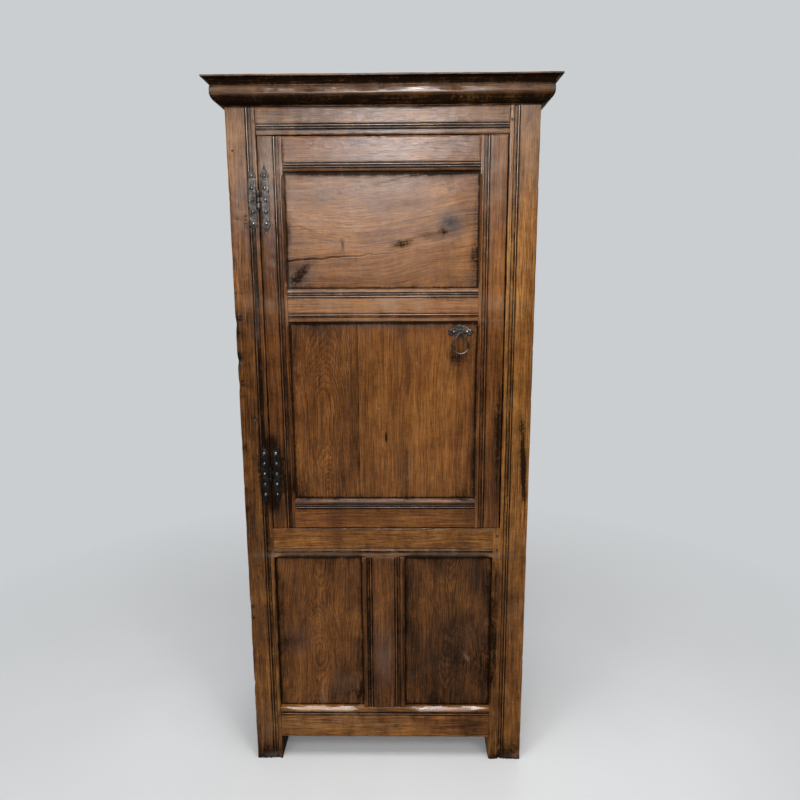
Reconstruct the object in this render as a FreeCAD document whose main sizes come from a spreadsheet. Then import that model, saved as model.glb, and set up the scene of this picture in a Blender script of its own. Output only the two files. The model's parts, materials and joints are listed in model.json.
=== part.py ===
import FreeCAD, Part
import math
import os
import re

import Sketcher

# A joined oak food cupboard: four posts, mortised rails, panels in grooves, one large
# panelled door on two iron hinges, and a ring pull.  Millimetres, +Z up, front towards -Y.
# The origin is on the floor, under the middle of the whole object.

# Driving dimensions
SIZES = {
    # carcass
    "carcass_width": 760,
    "carcass_depth": 430,
    "carcass_height": 1780,
    "left_post_width": 73,
    "right_post_width": 74,
    "foot_extra_width": 17,
    "front_post_depth": 92,
    "back_post_depth": 60,
    # front frame
    "rail_thickness": 38,
    "frieze_height": 65,
    "sill_bottom": 624,
    "sill_height": 85,
    "foot_clearance": 72,
    "bottom_rail_height": 94,
    "muntin_width": 117,
    "muntin_centre": -9.5,
    # sides and back
    "side_rail_thickness": 30,
    "side_top_rail_height": 80,
    "side_middle_rail_bottom": 900,
    "side_middle_rail_height": 80,
    "back_rail_thickness": 28,
    "back_top_rail_height": 90,
    "back_board_thickness": 12,
    "back_board_lap": 25,
    "back_board_gap": 1,
    "back_board_bottom": 90,
    # panels and joints
    "panel_thickness": 10,
    "panel_recess": 14,
    "side_panel_recess": 8,
    "panel_tongue": 8,
    "panel_fit": 0.2,
    "tenon_length": 34,
    "tenon_thickness": 10,
    "tenon_shoulder": 11,
    "joint_fit": 0.1,
    "peg_radius": 4,
    "peg_length": 36,
    "door_peg_length": 24,
    "peg_proud": 0.4,
    "peg_inset": 6,
    "foot_peg_inset": 11,
    "peg_spacing": 40,
    "peg_fit": 0.05,
    # inside
    "board_thickness": 18,
    "board_fit": 1,
    "board_housing": 8,
    "bottom_board_top": 158,
    "lower_shelf_rise": 298,
    "shelf_spacing": 350,
    "shelf_setback": 45,
    "cleat_width": 22,
    "cleat_height": 25,
    "stop_width": 14,
    "stop_thickness": 14,
    "stop_gap": 0.5,
    "stop_end_gap": 16,
    # cornice
    "cornice_height": 63,
    "cornice_overhang": 43,
    "cornice_backing": 22,
    "cornice_foot_overhang": 2,
    "cornice_foot_height": 3,
    "cornice_nose_overhang": 27.5,
    "cornice_nose_height": 31,
    "cornice_neck_overhang": 26,
    "cornice_neck_height": 42.5,
    "cornice_lip_height": 4.5,
    "cornice_lip_quirk": 3,
    "ovolo_radius": 25,
    "cavetto_radius": 22,
    # mouldings scratched along the frames
    "moulding_depth": 3,
    "quirk_width": 1.6,
    "bead_radius": 2.2,
    "channel_width": 15.5,
    "rail_channel_width": 11.5,
    "double_bead_width": 15,
    "post_channel_inset": 10,
    "stile_channel_inset": 8.5,
    "muntin_channel_inset": 12,
    "frieze_moulding_inset": 12,
    "top_rail_moulding_inset": 5,
    "upper_moulding_inset": 8,
    "under_moulding_inset": 9,
    "low_rail_moulding_inset": 11.5,
    "sill_moulding_inset": 14,
    "chamfer_width": 6,
    "rail_chamfer_width": 7,
    "chamfer_stop": 14,
    "lens_chamfer_width": 13,
    "lens_chamfer_stop": 4,
    # door
    "door_thickness": 30,
    "hinge_gap": 1.6,
    "free_gap": 2.4,
    "door_gap": 1.6,
    "hinge_stile_width": 61,
    "free_stile_width": 66,
    "door_top_rail_height": 81,
    "door_top_panel_height": 284.4,
    "door_middle_rail_height": 82,
    "door_bottom_rail_height": 80,
    "door_panel_recess": 10,
    "door_panel_thickness": 9,
    "door_left_board_width": 174.4,
    "panel_joint_gap": 0.3,
    # hinges
    "upper_hinge_drop": 149,
    "lower_hinge_rise": 152,
    "leaf_thickness": 2.5,
    "leaf_offset": 16,
    "leaf_width": 20.5,
    "leaf_spear_width": 22,
    "leaf_straight_length": 104,
    "leaf_shoulder_height": 8,
    "frame_leaf_length": 164,
    "door_leaf_length": 183,
    "knuckle_radius": 5,
    "knuckle_length": 14,
    "knuckle_gap": 0.3,
    "hinge_pin_radius": 2.2,
    "hinge_pin_fit": 0.05,
    "pin_head_radius": 3.8,
    "pin_head_height": 2,
    # nails
    "stud_radius": 4.6,
    "stud_height": 3,
    "stud_spacing": 28.3,
    "nail_radius": 1.6,
    "nail_length": 22,
    "nail_fit": 0.05,
    "nail_head_radius": 4,
    "nail_head_height": 1.5,
    "long_nail_length": 88,
    "board_nail_length": 40,
    # ring pull
    "pull_inset": 43.1,
    "pull_drop": 30,
    "plate_thickness": 2,
    "plate_width": 66,
    "plate_lobe_radius": 9,
    "plate_crown_radius": 14,
    "plate_crown_rise": 8,
    "plate_lobe_rise": 1,
    "plate_nail_offset": 17.5,
    "plate_nail_rise": 2,
    "eye_wire_radius": 1.2,
    "eye_radius": 3.9,
    "eye_stem_length": 26,
    "bail_wire_radius": 2.2,
    "bail_bow_radius": 20.8,
    "bail_neck_radius": 5,
    "bail_length": 53.8,
}

# Places worked out from the driving dimensions
PLACES = {
    "front": "(cornice_overhang - carcass_depth) / 2",
    "back": "front + carcass_depth",
    "left": "-carcass_width / 2",
    "right": "carcass_width / 2",
    "left_in": "left + left_post_width",
    "right_in": "right - right_post_width",
    "foot_in": "right_in - foot_extra_width",
    "front_post_back": "front + front_post_depth",
    "back_post_front": "back - back_post_depth",
    "rail_back": "front + rail_thickness",
    "bottom_rail_top": "foot_clearance + bottom_rail_height",
    "sill_top": "sill_bottom + sill_height",
    "frieze_bottom": "carcass_height - frieze_height",
    "muntin_left": "muntin_centre - muntin_width / 2",
    "muntin_right": "muntin_centre + muntin_width / 2",
    "panel_face": "front + panel_recess",
    "panel_back": "panel_face + panel_thickness",
    "side_left_in": "left + side_rail_thickness",
    "side_right_in": "right - side_rail_thickness",
    "side_middle_top": "side_middle_rail_bottom + side_middle_rail_height",
    "side_top_bottom": "carcass_height - side_top_rail_height",
    "back_board_face": "back - back_board_thickness",
    "back_rail_face": "back_board_face - back_rail_thickness",
    "back_top_bottom": "carcass_height - back_top_rail_height",
    "back_left": "left_in - back_board_lap",
    "back_right": "right_in + back_board_lap",
    "back_board_width": "(back_right - back_left - 2 * back_board_gap) / 3",
    "lower_shelf_top": "sill_top + lower_shelf_rise",
    "upper_shelf_top": "lower_shelf_top + shelf_spacing",
    "shelf_front": "front + shelf_setback",
    "shelf_back": "back_board_face - board_fit",
    "door_left": "left_in + hinge_gap",
    "door_right": "right_in - free_gap",
    "door_bottom": "sill_top + door_gap",
    "door_top": "frieze_bottom - door_gap",
    "door_back": "front + door_thickness",
    "hinge_stile_in": "door_left + hinge_stile_width",
    "free_stile_in": "door_right - free_stile_width",
    "door_bottom_rail_top": "door_bottom + door_bottom_rail_height",
    "door_top_rail_bottom": "door_top - door_top_rail_height",
    "door_middle_rail_top": "door_top_rail_bottom - door_top_panel_height",
    "door_middle_rail_bottom": "door_middle_rail_top - door_middle_rail_height",
    "door_panel_joint": "hinge_stile_in + door_left_board_width",
    "door_panel_face": "front + door_panel_recess",
    "door_panel_back": "door_panel_face + door_panel_thickness",
    "upper_hinge_centre": "door_top - upper_hinge_drop",
    "lower_hinge_centre": "door_bottom + lower_hinge_rise",
    "hinge_x": "left_in + hinge_gap / 2",
    "hinge_y": "front - knuckle_radius - knuckle_gap",
    "pull_centre": "free_stile_in - pull_inset",
    "pull_height": "door_middle_rail_bottom - pull_drop",
    "plate_face": "door_panel_face - plate_thickness",
    "eye_y": "plate_face - eye_radius - eye_wire_radius",
    "cornice_top": "carcass_height + cornice_height",
    "cornice_in_left": "left + cornice_backing",
    "cornice_in_right": "right - cornice_backing",
    "cornice_in_front": "front + cornice_backing",
    "mitre_reach": "cornice_overhang + cornice_backing",
}

Vector = FreeCAD.Vector
Rotation = FreeCAD.Rotation

doc = FreeCAD.newDocument("food_cupboard")
sheet = doc.addObject("Spreadsheet::Sheet", "Sizes")
for row, (alias, value) in enumerate(SIZES.items(), start=1):
    sheet.set(f"A{row}", alias.replace("_", " "))
    sheet.set(f"B{row}", str(value))
    sheet.setAlias(f"B{row}", alias)
doc.recompute()


def expr(text):
    """Write a size or place, given in plain names, as an expression on the sheet."""
    def full(match):
        word = match.group(0)
        if word in PLACES:
            return "(" + expr(PLACES[word]) + ")"
        if word in SIZES:
            return "Sizes." + word
        return word
    return re.sub(r"[a-z][a-z_]*", full, text)


def number(text):
    """The present value of a size or place."""
    return float(sheet.evalExpression(expr(text)))


# Each node is its blanks joined together, less its tools
blanks = {}
tools = {}


def join(node, solid):
    blanks.setdefault(node, []).append(solid)


def cut(nodes, solid):
    for node in nodes:
        tools.setdefault(node, []).append(solid)


def space(x, y, z):
    """A place in the object: a pair of planes, or one line, for each axis."""
    return {"x": x, "y": y, "z": z}


def box(name, room, grow="0"):
    """A block that fills a space, grown by a clearance on every side."""
    solid = doc.addObject("Part::Box", name)
    for side, axis in (("Length", "x"), ("Width", "y"), ("Height", "z")):
        low, high = room[axis]
        solid.setExpression(side, expr(f"({high}) - ({low}) + 2 * {grow}"))
        solid.setExpression(f"Placement.Base.{axis}", expr(f"({low}) - {grow}"))
    return solid


ALONG = {"x": Rotation(Vector(0, 1, 0), 90), "y": Rotation(Vector(1, 0, 0), -90), "z": Rotation()}


def rod(name, room, radius, grow="0"):
    """A round bar along the one axis of a space that has two planes."""
    solid = doc.addObject("Part::Cylinder", name)
    run = next(axis for axis in room if isinstance(room[axis], tuple))
    low, high = room[run]
    solid.Placement = FreeCAD.Placement(Vector(), ALONG[run])
    solid.setExpression("Radius", expr(f"({radius}) + {grow}"))
    solid.setExpression("Height", expr(f"({high}) - ({low}) + 2 * {grow}"))
    for axis in room:
        place = f"({low}) - {grow}" if axis == run else room[axis]
        solid.setExpression(f"Placement.Base.{axis}", expr(place))
    return solid


def subtract(name, base, cutters):
    """One solid less several others."""
    group = doc.addObject("Part::Compound", name + "_cutters")
    group.Links = cutters
    result = doc.addObject("Part::Cut", name)
    result.Base = base
    result.Tool = group
    return result


rooms = {}


def board(node, x, y, z):
    """A squared board or post, the blank of its node."""
    rooms[node] = space(x, y, z)
    join(node, box(node + "_blank", rooms[node]))


def panel(node, x, y, z, frame):
    """A board whose edges stand in grooves of the members round it."""
    board(node, x, y, z)
    cut(frame, box(node + "_groove", rooms[node], "panel_fit"))


def tongued(low, high):
    """A panel's width from one member to the next, with a tongue in each."""
    return (f"{low} - panel_tongue", f"{high} + panel_tongue")


def housed(node, thing, grow):
    """Clear a member out of a board's corner."""
    cut([node], box(f"{node}_round_{thing}", rooms[thing], grow))


def peg(node, room, members):
    """A draw peg and its hole through the members that it holds."""
    join(node, rod(node + "_peg", room, "peg_radius"))
    cut(members, rod(node + "_hole", room, "peg_radius", "peg_fit"))


def tenon(node, end, thick, into):
    """A tenon on one end of a rail, and its mortise in the member that takes it."""
    room = rooms[node]
    axis = end[0]
    low, high = room[axis]
    place = dict(room)
    if end[1] == "-":
        place[axis] = (f"{low} - tenon_length", low)
        mortise_run = (f"{low} - tenon_length - joint_fit", low)
    else:
        place[axis] = (high, f"{high} + tenon_length")
        mortise_run = (high, f"{high} + tenon_length + joint_fit")
    for other in "xyz".replace(axis, ""):
        near, far = room[other]
        if other == thick:
            middle = f"(({near}) + ({far})) / 2"
            place[other] = (f"{middle} - tenon_thickness / 2", f"{middle} + tenon_thickness / 2")
        else:
            place[other] = (f"{near} + tenon_shoulder", f"{far} - tenon_shoulder")
    join(node, box(f"{node}_tenon", place))
    mortise = {key: (f"{pair[0]} - joint_fit", f"{pair[1]} + joint_fit") for key, pair in place.items()}
    mortise[axis] = mortise_run
    cut([into], box(f"{node}_mortise", mortise))


def middle_height(node):
    low, high = rooms[node]["z"]
    return f"(({low}) + ({high})) / 2"


def peg_heights(node):
    """Heights of the two pegs in one joint, about the middle of the rail."""
    middle = middle_height(node)
    return [f"{middle} - peg_spacing / 2", f"{middle} + peg_spacing / 2"]


def scratch(node, run_axis, run, edge, inwards, inset, width):
    """A moulding scratched along a front face: a sunk band that leaves round beads standing.

    edge is the line that it is measured from, and inwards says which way, + or -."""
    across = "x" if run_axis == "z" else "z"
    far = f"{edge} {inwards} ({inset} + {width})"
    near = f"{edge} {inwards} {inset}"
    width_pair = (near, far) if inwards == "+" else (far, near)
    band = {run_axis: run, across: width_pair, "y": ("front - moulding_depth", "front + moulding_depth")}
    cutter = box(node + "_band", band)
    rods = []
    bead_steps = (0, 1) if width == "double_bead_width" else (0,)
    for step in bead_steps:
        offset = f"{inset} + {width} - bead_radius - quirk_width - {step} * (2 * bead_radius + quirk_width)"
        line = {run_axis: run, across: f"{edge} {inwards} ({offset})", "y": "front + bead_radius"}
        rods.append(rod(node + "_bead", line, "bead_radius"))
    cut([node], subtract(node + "_scratch", cutter, rods))


def chamfer(node, run_axis, run, edge, width):
    """A 45 degree chamfer along the front corner of a member."""
    low, high = run
    solid = doc.addObject("Part::Box", node + "_chamfer")
    across = "x" if run_axis == "z" else "z"
    turn_axis = Vector(0, 0, 1) if run_axis == "z" else Vector(1, 0, 0)
    solid.Placement = FreeCAD.Placement(Vector(), Rotation(turn_axis, 45))
    sides = {"Length": f"sqrt(2) * {width}", "Width": f"sqrt(2) * {width}", "Height": f"({high}) - ({low})"}
    if run_axis == "x":
        sides["Length"], sides["Height"] = sides["Height"], sides["Length"]
    for side, size in sides.items():
        solid.setExpression(side, expr(size))
    place = {run_axis: low, across: edge, "y": "front"}
    # the turned square hangs on its lowest corner, a half diagonal off the edge
    hanging = "y" if run_axis == "z" else "z"
    place[hanging] = f"{place[hanging]} - {width}"
    for axis, line in place.items():
        solid.setExpression(f"Placement.Base.{axis}", expr(line))
    cut([node], solid)


def lens_chamfer(node, run, edge, upwards):
    """A chamfer that runs out in a long curve at both ends, cut by a very large cylinder."""
    low, high = run
    half = f"((({high}) - ({low})) / 2 - lens_chamfer_stop)"
    deep = "(lens_chamfer_width / sqrt(2))"
    radius = f"(({half} * {half} + {deep} * {deep}) / (2 * {deep}))"
    reach = "lens_chamfer_width"
    solid = doc.addObject("Part::Cylinder", node + "_lens")
    solid.Placement = FreeCAD.Placement(Vector(), Rotation(Vector(1, 0, 0), -45 if upwards else -135))
    solid.setExpression("Radius", expr(radius))
    solid.setExpression("Height", expr(f"2 * {reach}"))
    sign = "+" if upwards else "-"
    solid.setExpression("Placement.Base.x", expr(f"(({low}) + ({high})) / 2"))
    solid.setExpression("Placement.Base.y", expr(f"front - ({radius} - {deep} + {reach}) / sqrt(2)"))
    solid.setExpression("Placement.Base.z", expr(f"{edge} {sign} ({radius} - {deep} - {reach}) / sqrt(2)"))
    cut([node], solid)


def nail(node, x, y, z, axis, head, members, length):
    """A flat-headed nail, driven flush, with its head at one plane and its hole in the members."""
    surface = {"x": x, "y": y, "z": z}[axis]
    shank = space(x, y, z)
    cap = space(x, y, z)
    if head == "+":
        shank[axis] = (f"{surface} - {length}", surface)
        cap[axis] = (f"{surface} - nail_head_height", surface)
    else:
        shank[axis] = (surface, f"{surface} + {length}")
        cap[axis] = (surface, f"{surface} + nail_head_height")
    whole = doc.addObject("Part::Fuse", node + "_nail")
    whole.Base = rod(node + "_shank", shank, "nail_radius")
    whole.Tool = rod(node + "_head", cap, "nail_head_radius")
    join(node, whole)
    cut(members, rod(node + "_shank_hole", shank, "nail_radius", "nail_fit"))
    cut(members, rod(node + "_head_hole", cap, "nail_head_radius", "nail_fit"))


def stud(node, x, face, z, members):
    """A nail with a domed head that stands on a plate, driven in from the front."""
    whole = doc.addObject("Part::Fuse", node + "_stud")
    dome = doc.addObject("Part::Sphere", node + "_dome")
    # the dome is the cap of a ball, as high and as wide as the head
    ball = "((stud_radius * stud_radius + stud_height * stud_height) / (2 * stud_height))"
    dome.Placement = FreeCAD.Placement(Vector(), Rotation(Vector(1, 0, 0), 90))
    dome.setExpression("Radius", expr(ball))
    dome.setExpression("Angle1", expr(f"90 - asin(stud_radius / {ball}) / 1 deg"))
    dome.setExpression("Placement.Base.x", expr(x))
    dome.setExpression("Placement.Base.y", expr(f"{face} + {ball} - stud_height"))
    dome.setExpression("Placement.Base.z", expr(z))
    shank = space(x, (face, f"{face} + nail_length"), z)
    whole.Base = dome
    whole.Tool = rod(node + "_shank", shank, "nail_radius")
    join(node, whole)
    cut(members, rod(node + "_hole", shank, "nail_radius", "nail_fit"))


def origin_plane(body, role):
    return next(plane for plane in body.Origin.OriginFeatures if plane.Role == role)


def outline(body, role, name, corners, arcs):
    """A closed sketch through corners given as sizes; arcs maps an edge to its radius and turn."""
    sketch = body.newObject("Sketcher::SketchObject", name)
    sketch.AttachmentSupport = (origin_plane(body, role), [""])
    sketch.MapMode = "FlatFace"
    points = [Vector(number(u), number(v), 0) for u, v in corners]
    ends = []
    for edge, start in enumerate(points):
        finish = points[(edge + 1) % len(points)]
        if edge in arcs:
            radius, turn = arcs[edge]
            chord = finish - start
            rise = math.sqrt(max(number(radius) ** 2 - (chord.Length / 2) ** 2, 0))
            normal = Vector(-chord.y, chord.x, 0).normalize()
            centre = (start + finish) * 0.5 + normal * (rise * turn)
            middle = centre - normal * (number(radius) * turn)
            sketch.addGeometry(Part.Arc(start, middle, finish), False)
            ends.append((1, 2) if turn > 0 else (2, 1))
        else:
            sketch.addGeometry(Part.LineSegment(start, finish), False)
            ends.append((1, 2))
    for edge in range(len(points)):
        following = (edge + 1) % len(points)
        sketch.addConstraint(
            Sketcher.Constraint("Coincident", edge, ends[edge][1], following, ends[following][0]))
    for edge, (u, v) in enumerate(corners):
        for kind, size in (("DistanceX", u), ("DistanceY", v)):
            index = sketch.addConstraint(
                Sketcher.Constraint(kind, -1, 1, edge, ends[edge][0], number(size)))
            sketch.setExpression(f"Constraints[{index}]", expr(size))
    for edge, (radius, turn) in arcs.items():
        index = sketch.addConstraint(Sketcher.Constraint("Radius", edge, number(radius)))
        sketch.setExpression(f"Constraints[{index}]", expr(radius))
    return sketch


# The four posts and the front frame
board("front_left_post", ("left", "left_in"), ("front", "front_post_back"), ("0", "carcass_height"))
board("front_right_post", ("foot_in", "right"), ("front", "front_post_back"), ("0", "carcass_height"))
board("back_left_post", ("left", "left_in"), ("back_post_front", "back"), ("0", "carcass_height"))
board("back_right_post", ("right_in", "right"), ("back_post_front", "back"), ("0", "carcass_height"))
# above the sill the right post is cut back to make room for the door
clear_of_door = space(("foot_in", "right_in"), ("front", "front_post_back"), ("sill_top", "carcass_height"))
cut(["front_right_post"], box("right_post_rebate", clear_of_door))

board("frieze_rail", ("left_in", "right_in"), ("front", "rail_back"), ("frieze_bottom", "carcass_height"))
board("sill_rail", ("left_in", "foot_in"), ("front", "rail_back"), ("sill_bottom", "sill_top"))
board("bottom_rail", ("left_in", "foot_in"), ("front", "rail_back"), ("foot_clearance", "bottom_rail_top"))
board("lower_muntin", ("muntin_left", "muntin_right"), ("front", "rail_back"),
      ("bottom_rail_top", "sill_bottom"))
for rail, right_inset in (("frieze_rail", "peg_inset"), ("sill_rail", "foot_peg_inset"),
                          ("bottom_rail", "foot_peg_inset")):
    tenon(rail, "x-", "y", "front_left_post")
    tenon(rail, "x+", "y", "front_right_post")
    right_shoulder = rooms[rail]["x"][1]
    # the frieze is too narrow for a second peg
    heights = [middle_height(rail)] if rail == "frieze_rail" else peg_heights(rail)
    for height in heights:
        depth = ("front - peg_proud", "front + peg_length")
        peg("carcass_pegs", space("left_in - peg_inset", depth, height), [rail, "front_left_post"])
        peg("carcass_pegs", space(f"{right_shoulder} + {right_inset}", depth, height),
            [rail, "front_right_post"])
tenon("lower_muntin", "z-", "y", "bottom_rail")
tenon("lower_muntin", "z+", "y", "sill_rail")

lower_frame = ["bottom_rail", "sill_rail", "lower_muntin"]
panel("lower_left_panel", tongued("left_in", "muntin_left"), ("panel_face", "panel_back"),
      tongued("bottom_rail_top", "sill_bottom"), lower_frame + ["front_left_post"])
panel("lower_right_panel", tongued("muntin_right", "foot_in"), ("panel_face", "panel_back"),
      tongued("bottom_rail_top", "sill_bottom"), lower_frame + ["front_right_post"])

# The two panelled sides
for side, outer, inner, face in (("left", "left", "side_left_in", "left + side_panel_recess"),
                                 ("right", "right", "side_right_in", "right - side_panel_recess")):
    thickness = (outer, inner) if side == "left" else (inner, outer)
    panel_inner = f"{face} + panel_thickness" if side == "left" else f"{face} - panel_thickness"
    panel_room = (face, panel_inner) if side == "left" else (panel_inner, face)
    length = ("front_post_back", "back_post_front")
    levels = (("bottom", ("foot_clearance", "bottom_rail_top")),
              ("middle", ("side_middle_rail_bottom", "side_middle_top")),
              ("top", ("side_top_bottom", "carcass_height")))
    rails = []
    for level, heights in levels:
        rail = f"{side}_side_{level}_rail"
        rails.append(rail)
        board(rail, thickness, length, heights)
        tenon(rail, "y-", "x", f"front_{side}_post")
        tenon(rail, "y+", "x", f"back_{side}_post")
        drive = (f"{outer} - peg_proud", f"{outer} + peg_length")
        if side == "right":
            drive = (f"{outer} - peg_length", f"{outer} + peg_proud")
        for height in peg_heights(rail):
            peg("carcass_pegs", space(drive, "front_post_back - peg_inset", height),
                [rail, f"front_{side}_post"])
            peg("carcass_pegs", space(drive, "back_post_front + peg_inset", height),
                [rail, f"back_{side}_post"])
    posts = [f"front_{side}_post", f"back_{side}_post"]
    panel(f"{side}_side_lower_panel", panel_room, tongued(*length),
          tongued("bottom_rail_top", "side_middle_rail_bottom"), posts + rails[:2])
    panel(f"{side}_side_upper_panel", panel_room, tongued(*length),
          tongued("side_middle_top", "side_top_bottom"), posts + rails[1:])

# The back: two rails, and boards nailed to them in a rebate of the posts
for level, heights in (("bottom", ("foot_clearance", "bottom_rail_top")),
                       ("top", ("back_top_bottom", "carcass_height"))):
    rail = f"back_{level}_rail"
    board(rail, ("left_in", "right_in"), ("back_rail_face", "back_board_face"), heights)
    tenon(rail, "x-", "y", "back_left_post")
    tenon(rail, "x+", "y", "back_right_post")
    depth = ("back_board_face - peg_length", "back_board_face")
    for height in peg_heights(rail):
        peg("carcass_pegs", space("left_in - peg_inset", depth, height), [rail, "back_left_post"])
        peg("carcass_pegs", space("right_in + peg_inset", depth, height), [rail, "back_right_post"])
for place, name in enumerate(("back_board_left", "back_board_middle", "back_board_right")):
    start = f"back_left + {place} * (back_board_width + back_board_gap)"
    board(name, (start, f"{start} + back_board_width"), ("back_board_face", "back"),
          ("back_board_bottom", "carcass_height"))
    for rail in ("back_bottom_rail", "back_top_rail"):
        height = middle_height(rail)
        for share in ("1 / 4", "3 / 4"):
            nail("carcass_nails", f"{start} + back_board_width * {share}", "back", height, "y", "+",
                 [name, rail], "nail_length")
for post in ("back_left_post", "back_right_post"):
    rebate = space(("back_left", "back_right"), ("back_board_face", "back"),
                   ("back_board_bottom", "carcass_height"))
    cut([post], box(post + "_rebate", rebate, "joint_fit"))

# Shelves on cleats, the floor board, the top board and the door stop
corner_posts = ["front_left_post", "front_right_post", "back_left_post", "back_right_post"]
inside_width = ("side_left_in + board_fit", "side_right_in - board_fit")
for level in ("lower", "upper"):
    shelf = f"{level}_shelf"
    top = f"{level}_shelf_top"
    board(shelf, inside_width, ("shelf_front", "shelf_back"), (f"{top} - board_thickness", top))
    for post in corner_posts:
        if post == "front_right_post":
            upper_part = space(("right_in", "right"), ("front", "front_post_back"),
                               ("sill_top", "carcass_height"))
            cut([shelf], box(shelf + "_notch", upper_part, "board_fit"))
        else:
            housed(shelf, post, "board_fit")
    heights = (f"{top} - board_thickness - cleat_height", f"{top} - board_thickness")
    middle = f"{top} - board_thickness - cleat_height / 2"
    cleat_sides = (("left", ("left_in", "left_in + cleat_width"), "left_in + cleat_width", "+"),
                   ("right", ("right_in - cleat_width", "right_in"), "right_in - cleat_width", "-"))
    for side, width, head_plane, head in cleat_sides:
        cleat = f"{level}_{side}_cleat"
        board(cleat, width, ("shelf_front", "shelf_back"), heights)
        for post, line in ((f"front_{side}_post", "(shelf_front + front_post_back) / 2"),
                           (f"back_{side}_post", "(back_post_front + shelf_back) / 2")):
            nail("carcass_nails", head_plane, line, middle, "x", head, [cleat, post], "board_nail_length")

board("bottom_board", inside_width, ("rail_back - board_housing", "back_rail_face + board_housing"),
      ("bottom_board_top - board_thickness", "bottom_board_top"))
cut(["bottom_rail", "back_bottom_rail"], box("bottom_board_housing", rooms["bottom_board"], "joint_fit"))
for post in corner_posts:
    housed("bottom_board", post, "board_fit")

board("top_board", ("cornice_in_left", "cornice_in_right"), ("cornice_in_front", "back"),
      ("carcass_height", "carcass_height + board_thickness"))
top_nail_height = "carcass_height + board_thickness"
for side in ("left", "right"):
    line = f"(cornice_in_{side} + side_{side}_in) / 2"
    for share in ("1 / 3", "2 / 3"):
        depth = f"front_post_back + (back_post_front - front_post_back) * {share}"
        nail("carcass_nails", line, depth, top_nail_height, "z", "+",
             ["top_board", f"{side}_side_top_rail"], "board_nail_length")

board("door_stop", ("right_in - stop_width", "right_in"),
      ("door_back + stop_gap", "door_back + stop_gap + stop_thickness"),
      ("door_bottom + stop_end_gap", "door_top - stop_end_gap"))
for share in ("1 / 5", "1 / 2", "4 / 5"):
    nail("carcass_nails", "right_in - stop_width", "door_back + stop_gap + stop_thickness / 2",
         f"door_bottom + (door_top - door_bottom) * {share}", "x", "-",
         ["door_stop", "front_right_post"], "board_nail_length")

# The door
door_depth = ("front", "door_back")
door_height = ("door_bottom", "door_top")
board("door_hinge_stile", ("door_left", "hinge_stile_in"), door_depth, door_height)
board("door_free_stile", ("free_stile_in", "door_right"), door_depth, door_height)
door_levels = {
    "door_top_rail": ("door_top_rail_bottom", "door_top"),
    "door_middle_rail": ("door_middle_rail_bottom", "door_middle_rail_top"),
    "door_bottom_rail": ("door_bottom", "door_bottom_rail_top"),
}
for rail, heights in door_levels.items():
    board(rail, ("hinge_stile_in", "free_stile_in"), door_depth, heights)
    tenon(rail, "x-", "y", "door_hinge_stile")
    tenon(rail, "x+", "y", "door_free_stile")
    # the pegs are driven from the inside and stop short of the moulded face
    depth = ("door_back - door_peg_length", "door_back")
    for height in peg_heights(rail):
        peg("door_pegs", space("hinge_stile_in - tenon_length / 2", depth, height),
            [rail, "door_hinge_stile"])
        peg("door_pegs", space("free_stile_in + tenon_length / 2", depth, height),
            [rail, "door_free_stile"])
door_panel_depth = ("door_panel_face", "door_panel_back")
door_stiles = ["door_hinge_stile", "door_free_stile"]
panel("door_top_panel", tongued("hinge_stile_in", "free_stile_in"), door_panel_depth,
      tongued("door_middle_rail_top", "door_top_rail_bottom"),
      door_stiles + ["door_middle_rail", "door_top_rail"])
lower_height = tongued("door_bottom_rail_top", "door_middle_rail_bottom")
low_rails = ["door_bottom_rail", "door_middle_rail"]
panel("door_lower_panel_left", ("hinge_stile_in - panel_tongue", "door_panel_joint - panel_joint_gap / 2"),
      door_panel_depth, lower_height, low_rails + ["door_hinge_stile"])
panel("door_lower_panel_right", ("door_panel_joint + panel_joint_gap / 2", "free_stile_in + panel_tongue"),
      door_panel_depth, lower_height, low_rails + ["door_free_stile"])

# Mouldings and chamfers
full_height = ("0", "carcass_height")
scratch("front_left_post", "z", full_height, "left_in", "-", "post_channel_inset", "channel_width")
scratch("front_right_post", "z", full_height, "right_in", "+", "post_channel_inset", "channel_width")
scratch("door_hinge_stile", "z", door_height, "hinge_stile_in", "-", "stile_channel_inset", "channel_width")
scratch("door_free_stile", "z", door_height, "free_stile_in", "+", "stile_channel_inset", "channel_width")
muntin_height = rooms["lower_muntin"]["z"]
scratch("lower_muntin", "z", muntin_height, "muntin_left", "+", "muntin_channel_inset", "channel_width")
scratch("lower_muntin", "z", muntin_height, "muntin_right", "-", "muntin_channel_inset", "channel_width")
rail_mouldings = (
    ("frieze_rail", "frieze_bottom", "+", "frieze_moulding_inset", "double_bead_width"),
    ("door_top_rail", "door_top_rail_bottom", "+", "top_rail_moulding_inset", "double_bead_width"),
    ("door_middle_rail", "door_middle_rail_top", "-", "upper_moulding_inset", "double_bead_width"),
    ("door_middle_rail", "door_middle_rail_bottom", "+", "under_moulding_inset", "rail_channel_width"),
    ("door_bottom_rail", "door_bottom_rail_top", "-", "low_rail_moulding_inset", "double_bead_width"),
    ("sill_rail", "sill_bottom", "+", "sill_moulding_inset", "rail_channel_width"),
    ("bottom_rail", "bottom_rail_top", "-", "sill_moulding_inset", "rail_channel_width"),
)
for rail, edge, inwards, inset, width in rail_mouldings:
    scratch(rail, "x", rooms[rail]["x"], edge, inwards, inset, width)

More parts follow.
